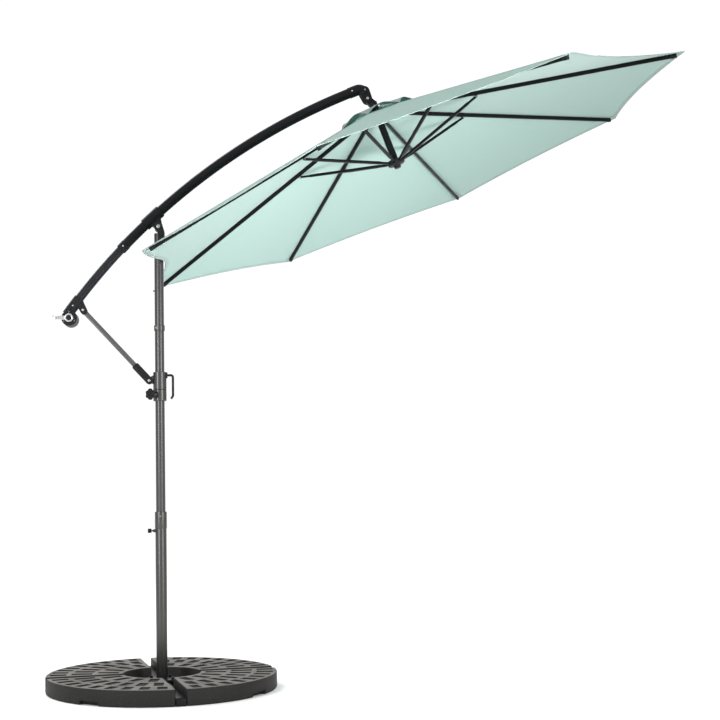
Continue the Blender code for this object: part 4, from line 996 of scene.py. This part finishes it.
def build_mast():
    bracket = cut(
        cast(
            0.0009,
            rod((0, 0, -0.060), (0, 0, -0.022), 0.0195, 48),
            link((-PIVOT_OFFSET, 0, 0), (-0.001, 0, -0.034), 0.0160, 0.0180, 0.0260),
        ),
        rod((0, 0, -0.070), (0, 0, MAST_TOP + GAP), MAST_RADIUS + GAP, 48),
        rod((0, 0, -0.040), (0, 0, 0.030), CORD_BORE, 20),
        drill((-PIVOT_OFFSET, 0, 0), CANOPY_PIN_RADIUS + GAP),
    )
    piece("mast_casting", placed(bracket, CANOPY), "casting", "canopy_head", "mast_bracket", angle=50)
    rivet = placed(stud((0, -0.0192, -0.044), -SIDE, 0.0040, 0.0020), CANOPY)
    piece("mast_rivet", rivet, "rivet", "canopy_head")
    mast = pipe(MAST_RADIUS, MAST_RADIUS - MAST_WALL, MAST_BOTTOM, MAST_TOP, 0.0006, 48)
    piece("mast_pipe", placed(mast, CANOPY), "frame", "canopy_head", "mast_tube", slot="charcoal_metal")
    kept("top_hub", "plastic", 0.0006)
    kept("runner", "plastic", 0.0006)


def build_ribs():
    lie = along_line((0, 0, 0), -atan(RIB_SLOPE))
    aim = RUNNER_JOINT - STRUT_JOINT
    strut_place = along_line(STRUT_JOINT, atan2(aim.z, aim.x))
    rib, cap, strut = rib_mesh(lie), rib_cap_mesh(lie), strut_mesh()
    for k in range(RIBS):
        place, n = rib_matrix(k), k + 1
        piece(f"rib_bar_{n}", placed(rib.copy(), place), "frame", f"rib_{n}", f"rib_{n}")
        piece(f"rib_tip_{n}", placed(cap.copy(), place), "plastic", f"rib_{n}")
        bar = placed(strut.copy(), place @ strut_place)
        piece(f"strut_bar_{n}", bar, "frame", f"strut_{n}", f"strut_{n}")
        pin = placed(cross_pin(STRUT_JOINT, 0.0018, 0.0056, 0.0036, 0.0012), place)
        piece(f"strut_pin_{n}", pin, "rivet", f"strut_{n}")


# ---- canopy cloth ----
# q goes across a panel: 0 on its rib, -1 and 1 halfway to the next ribs. t goes along it, 0 to 1.


def cloth_height(radius):
    return RIB_PIVOT - RIB_SLOPE * (radius - PIVOT_RADIUS) + CLOTH_ABOVE_RIB


def on_panel(radius, q, height):
    x = radius * (1 - abs(q) * sin(HALF_GORE) ** 2)
    return Vector((x, q * half_width(radius), height))


def half_width(radius):
    """Half of a panel's width at a radius."""
    return radius * sin(HALF_GORE) * cos(HALF_GORE)


def hem_radius(q, to_pole):
    """The hem curves in between the ribs. On the pole's side it stays straight near the ribs."""
    reach = abs(q)
    if to_pole:
        return CORNER_RADIUS - BACK_SCALLOP * reach ** 2 * (3 - 2 * reach)
    return CORNER_RADIUS - SCALLOP * (1 - (1 - reach) ** 2)


def canopy_surface(q, t, to_pole):
    """The main cloth from the vent to the hem, which hangs a little between the ribs."""
    hem = hem_radius(q, to_pole[1] if q > 0 else to_pole[0])
    radius = VENT_RADIUS + (hem - VENT_RADIUS) * t
    sag = CLOTH_SAG * (1 - (1 - abs(q)) ** 2) * sin(pi / 2 * min(t * 1.15, 1))
    return on_panel(radius, q, cloth_height(radius) - sag), radius


def cap_surface(q, t):
    """The vent cap, which arches up between the ribs."""
    hem = CAP_OUTER - CAP_SCALLOP * (1 - (1 - abs(q)) ** 2)
    radius = CAP_INNER + (hem - CAP_INNER) * t
    arch = sin(pi / 2 * abs(q)) * t
    height = cloth_height(CAP_OUTER) + 0.001 + (CAP_OUTER - radius) * CAP_SLOPE + CAP_LIFT * arch
    return on_panel(radius, q, height), radius


def sheet_mesh(columns, rows, surface, thickness):
    """A grid on a surface(q, t), with a UV map of metres across and along, made into a thin shell."""
    work = bmesh.new()
    uv = work.loops.layers.uv.new("cloth")
    grid, flat = [], {}
    for t in rows:
        line = []
        for q in columns:
            point, radius = surface(q, t)
            vert = work.verts.new(point)
            flat[vert] = (point.y, radius)
            line.append(vert)
        grid.append(line)
    for one, two in zip(grid, grid[1:]):
        for i in range(len(columns) - 1):
            face = work.faces.new((one[i], one[i + 1], two[i + 1], two[i]))
            for loop in face.loops:
                loop[uv].uv = flat[loop.vert]
    shell = {"thickness": thickness, "offset": 0.0, "use_even_offset": True}
    return with_modifiers(mesh_from(work), ("SOLIDIFY", shell))


def even(count):
    """Steps from 0 to 1."""
    return [i / count for i in range(count + 1)]


def panel_columns(count):
    """Values of q from -1 to 1, closer together on the rib."""
    half = [share ** 1.35 for share in even(count)]
    return [-q for q in reversed(half[1:])] + half


def hem_band(surface, width, inner_edge):
    """The last strip of a surface before its hem."""
    def band(q, t):
        point, radius = surface(q, 1.0)
        inner, inner_radius = surface(q, 1.0 - width / (radius - inner_edge))
        return inner.lerp(point, t), inner_radius + (radius - inner_radius) * t
    return band


def hem_mesh(main):
    """The turned and stitched edge of the cloth: a thicker band that wraps it."""
    band = hem_band(main, HEM_WIDTH, VENT_RADIUS)
    return sheet_mesh(panel_columns(14), [0, 0.08, 0.35, 0.65, 0.92, 1], band, 0.0024)


def cap_hem_mesh():
    band = hem_band(cap_surface, CAP_HEM_WIDTH, CAP_INNER)
    return sheet_mesh(panel_columns(6), [0, 0.1, 0.5, 0.9, 1], band, 0.0022)


def seam_mesh(main):
    """The felled seam that runs down over the rib."""
    def surface(q, t):
        _, radius = main(q, t)
        return main(q * SEAM_HALF_WIDTH / half_width(radius), t)
    return sheet_mesh([-1, -0.5, 0, 0.5, 1], even(60), surface, 0.0022)


def pocket_mesh(main):
    """The doubled corner that takes the rib's end."""
    def surface(q, t):
        along = 1.0 - POCKET_LENGTH * (1 - t)
        radius = VENT_RADIUS + (CORNER_RADIUS - VENT_RADIUS) * along
        return main(q * (0.016 + 0.016 * t) / half_width(radius), along)
    return sheet_mesh([-1, -0.6, -0.2, 0, 0.2, 0.6, 1], even(8), surface, 0.0032)


def build_cloth():
    for k in range(RIBS):
        n = k + 1
        to_pole = (n == 5, n == 4)
        place = rib_matrix(k) @ Matrix.Translation((-PIVOT_RADIUS, 0, -RIB_PIVOT))

        def surface(q, t):
            return canopy_surface(q, t, to_pole)

        def dressed(name, mesh, look, *nodes):
            shape = piece(name, placed(mesh, place), look, f"rib_{n}", *nodes, angle=60)
            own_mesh(shape)
            return shape

        cloth = sheet_mesh(panel_columns(14), even(30), surface, CLOTH_THICKNESS)
        main = dressed(f"canopy_cloth_{n}", cloth, "cloth", f"canopy_panel_{n}")
        hem = dressed(f"canopy_hem_{n}", hem_mesh(surface), "seam")
        seam = dressed(f"canopy_seam_{n}", seam_mesh(surface), "seam")
        pocket = dressed(f"canopy_pocket_{n}", pocket_mesh(surface), "seam")
        vent = sheet_mesh(panel_columns(6), even(8), cap_surface, CLOTH_THICKNESS)
        cap = dressed(f"vent_cap_{n}", vent, "cloth")
        binding = dressed(f"vent_binding_{n}", cap_hem_mesh(), "seam")


# ---- stage ----


def studio_white():
    roughness = 0.9
    look = Look("studio_floor", (0.99, 0.99, 0.99), roughness)
    look.shine(look.noise(3, detail=2.0), 0.3, 0.7, roughness - 0.03, roughness + 0.03)
    return look.material


def soft_light(name, place, target, width, height, power):
    lamp = bpy.data.lights.new(name, "AREA")
    lamp.shape = "RECTANGLE"
    lamp.size, lamp.size_y = width, height
    lamp.energy = power
    shape = linked(name, lamp)
    shape.location = place
    shape.rotation_euler = (Vector(target) - Vector(place)).to_track_quat("-Z", "Y").to_euler()
    return shape


def build_stage():
    """A white floor, a white surround, a strip light on each side, a fill from below and one from behind."""
    floor = linked("floor", box((-30, -30, -0.05), (30, 30, -0.0005)))
    floor.data.materials.append(studio_white())
    world = bpy.data.worlds.new("studio")
    bpy.context.scene.world = world
    world.use_nodes = True
    sky = world.node_tree.nodes["Background"]
    sky.inputs["Color"].default_value = (1, 1, 1, 1)
    sky.inputs["Strength"].default_value = 1.04
    soft_light("left_strip", (-3.0, -4.0, 1.9), (0, 0, 1.2), 0.35, 2.8, 120)
    soft_light("right_strip", (3.4, -3.7, 1.7), (0, 0, 1.2), 0.35, 2.8, 100)
    fill = soft_light("fill", (2.6, -4.6, 0.4), (0.6, 0.25, 2.3), 1.6, 1.0, 43)
    fill.data.spread = radians(38)
    fill.visible_glossy = False
    soft_light("back", (-2.2, 2.6, 5.4), (1.0, 0, 2.4), 3.0, 3.0, 165)


def build_camera():
    yaw, pitch, roll = radians(2.4477), radians(4.796), radians(-0.9181)
    lens = bpy.data.cameras.new("camera")
    lens.lens, lens.sensor_width = 65.12, 36
    lens.shift_x, lens.shift_y = 0.0986, 0.0195
    camera = linked("camera", lens)
    camera.matrix_world = (
        Matrix.Translation((0.3333, -5.8903, 0.8958)) @ Matrix.Rotation(-yaw, 4, "Z")
        @ Matrix.Rotation(pi / 2 + pitch, 4, "X") @ Matrix.Rotation(roll, 4, "Z")
    )
    bpy.context.scene.camera = camera


LOOKS = make_looks()
build_camera()
build_stage()
build_base()
build_lower_pole()
build_pole()
build_arm()
build_saddle()
build_crank_housing()
build_crank()
build_elbow()
build_brace()
build_clamp()
build_mast()
build_ribs()
build_cloth()
bpy.context.scene.view_settings.view_transform = "Standard"
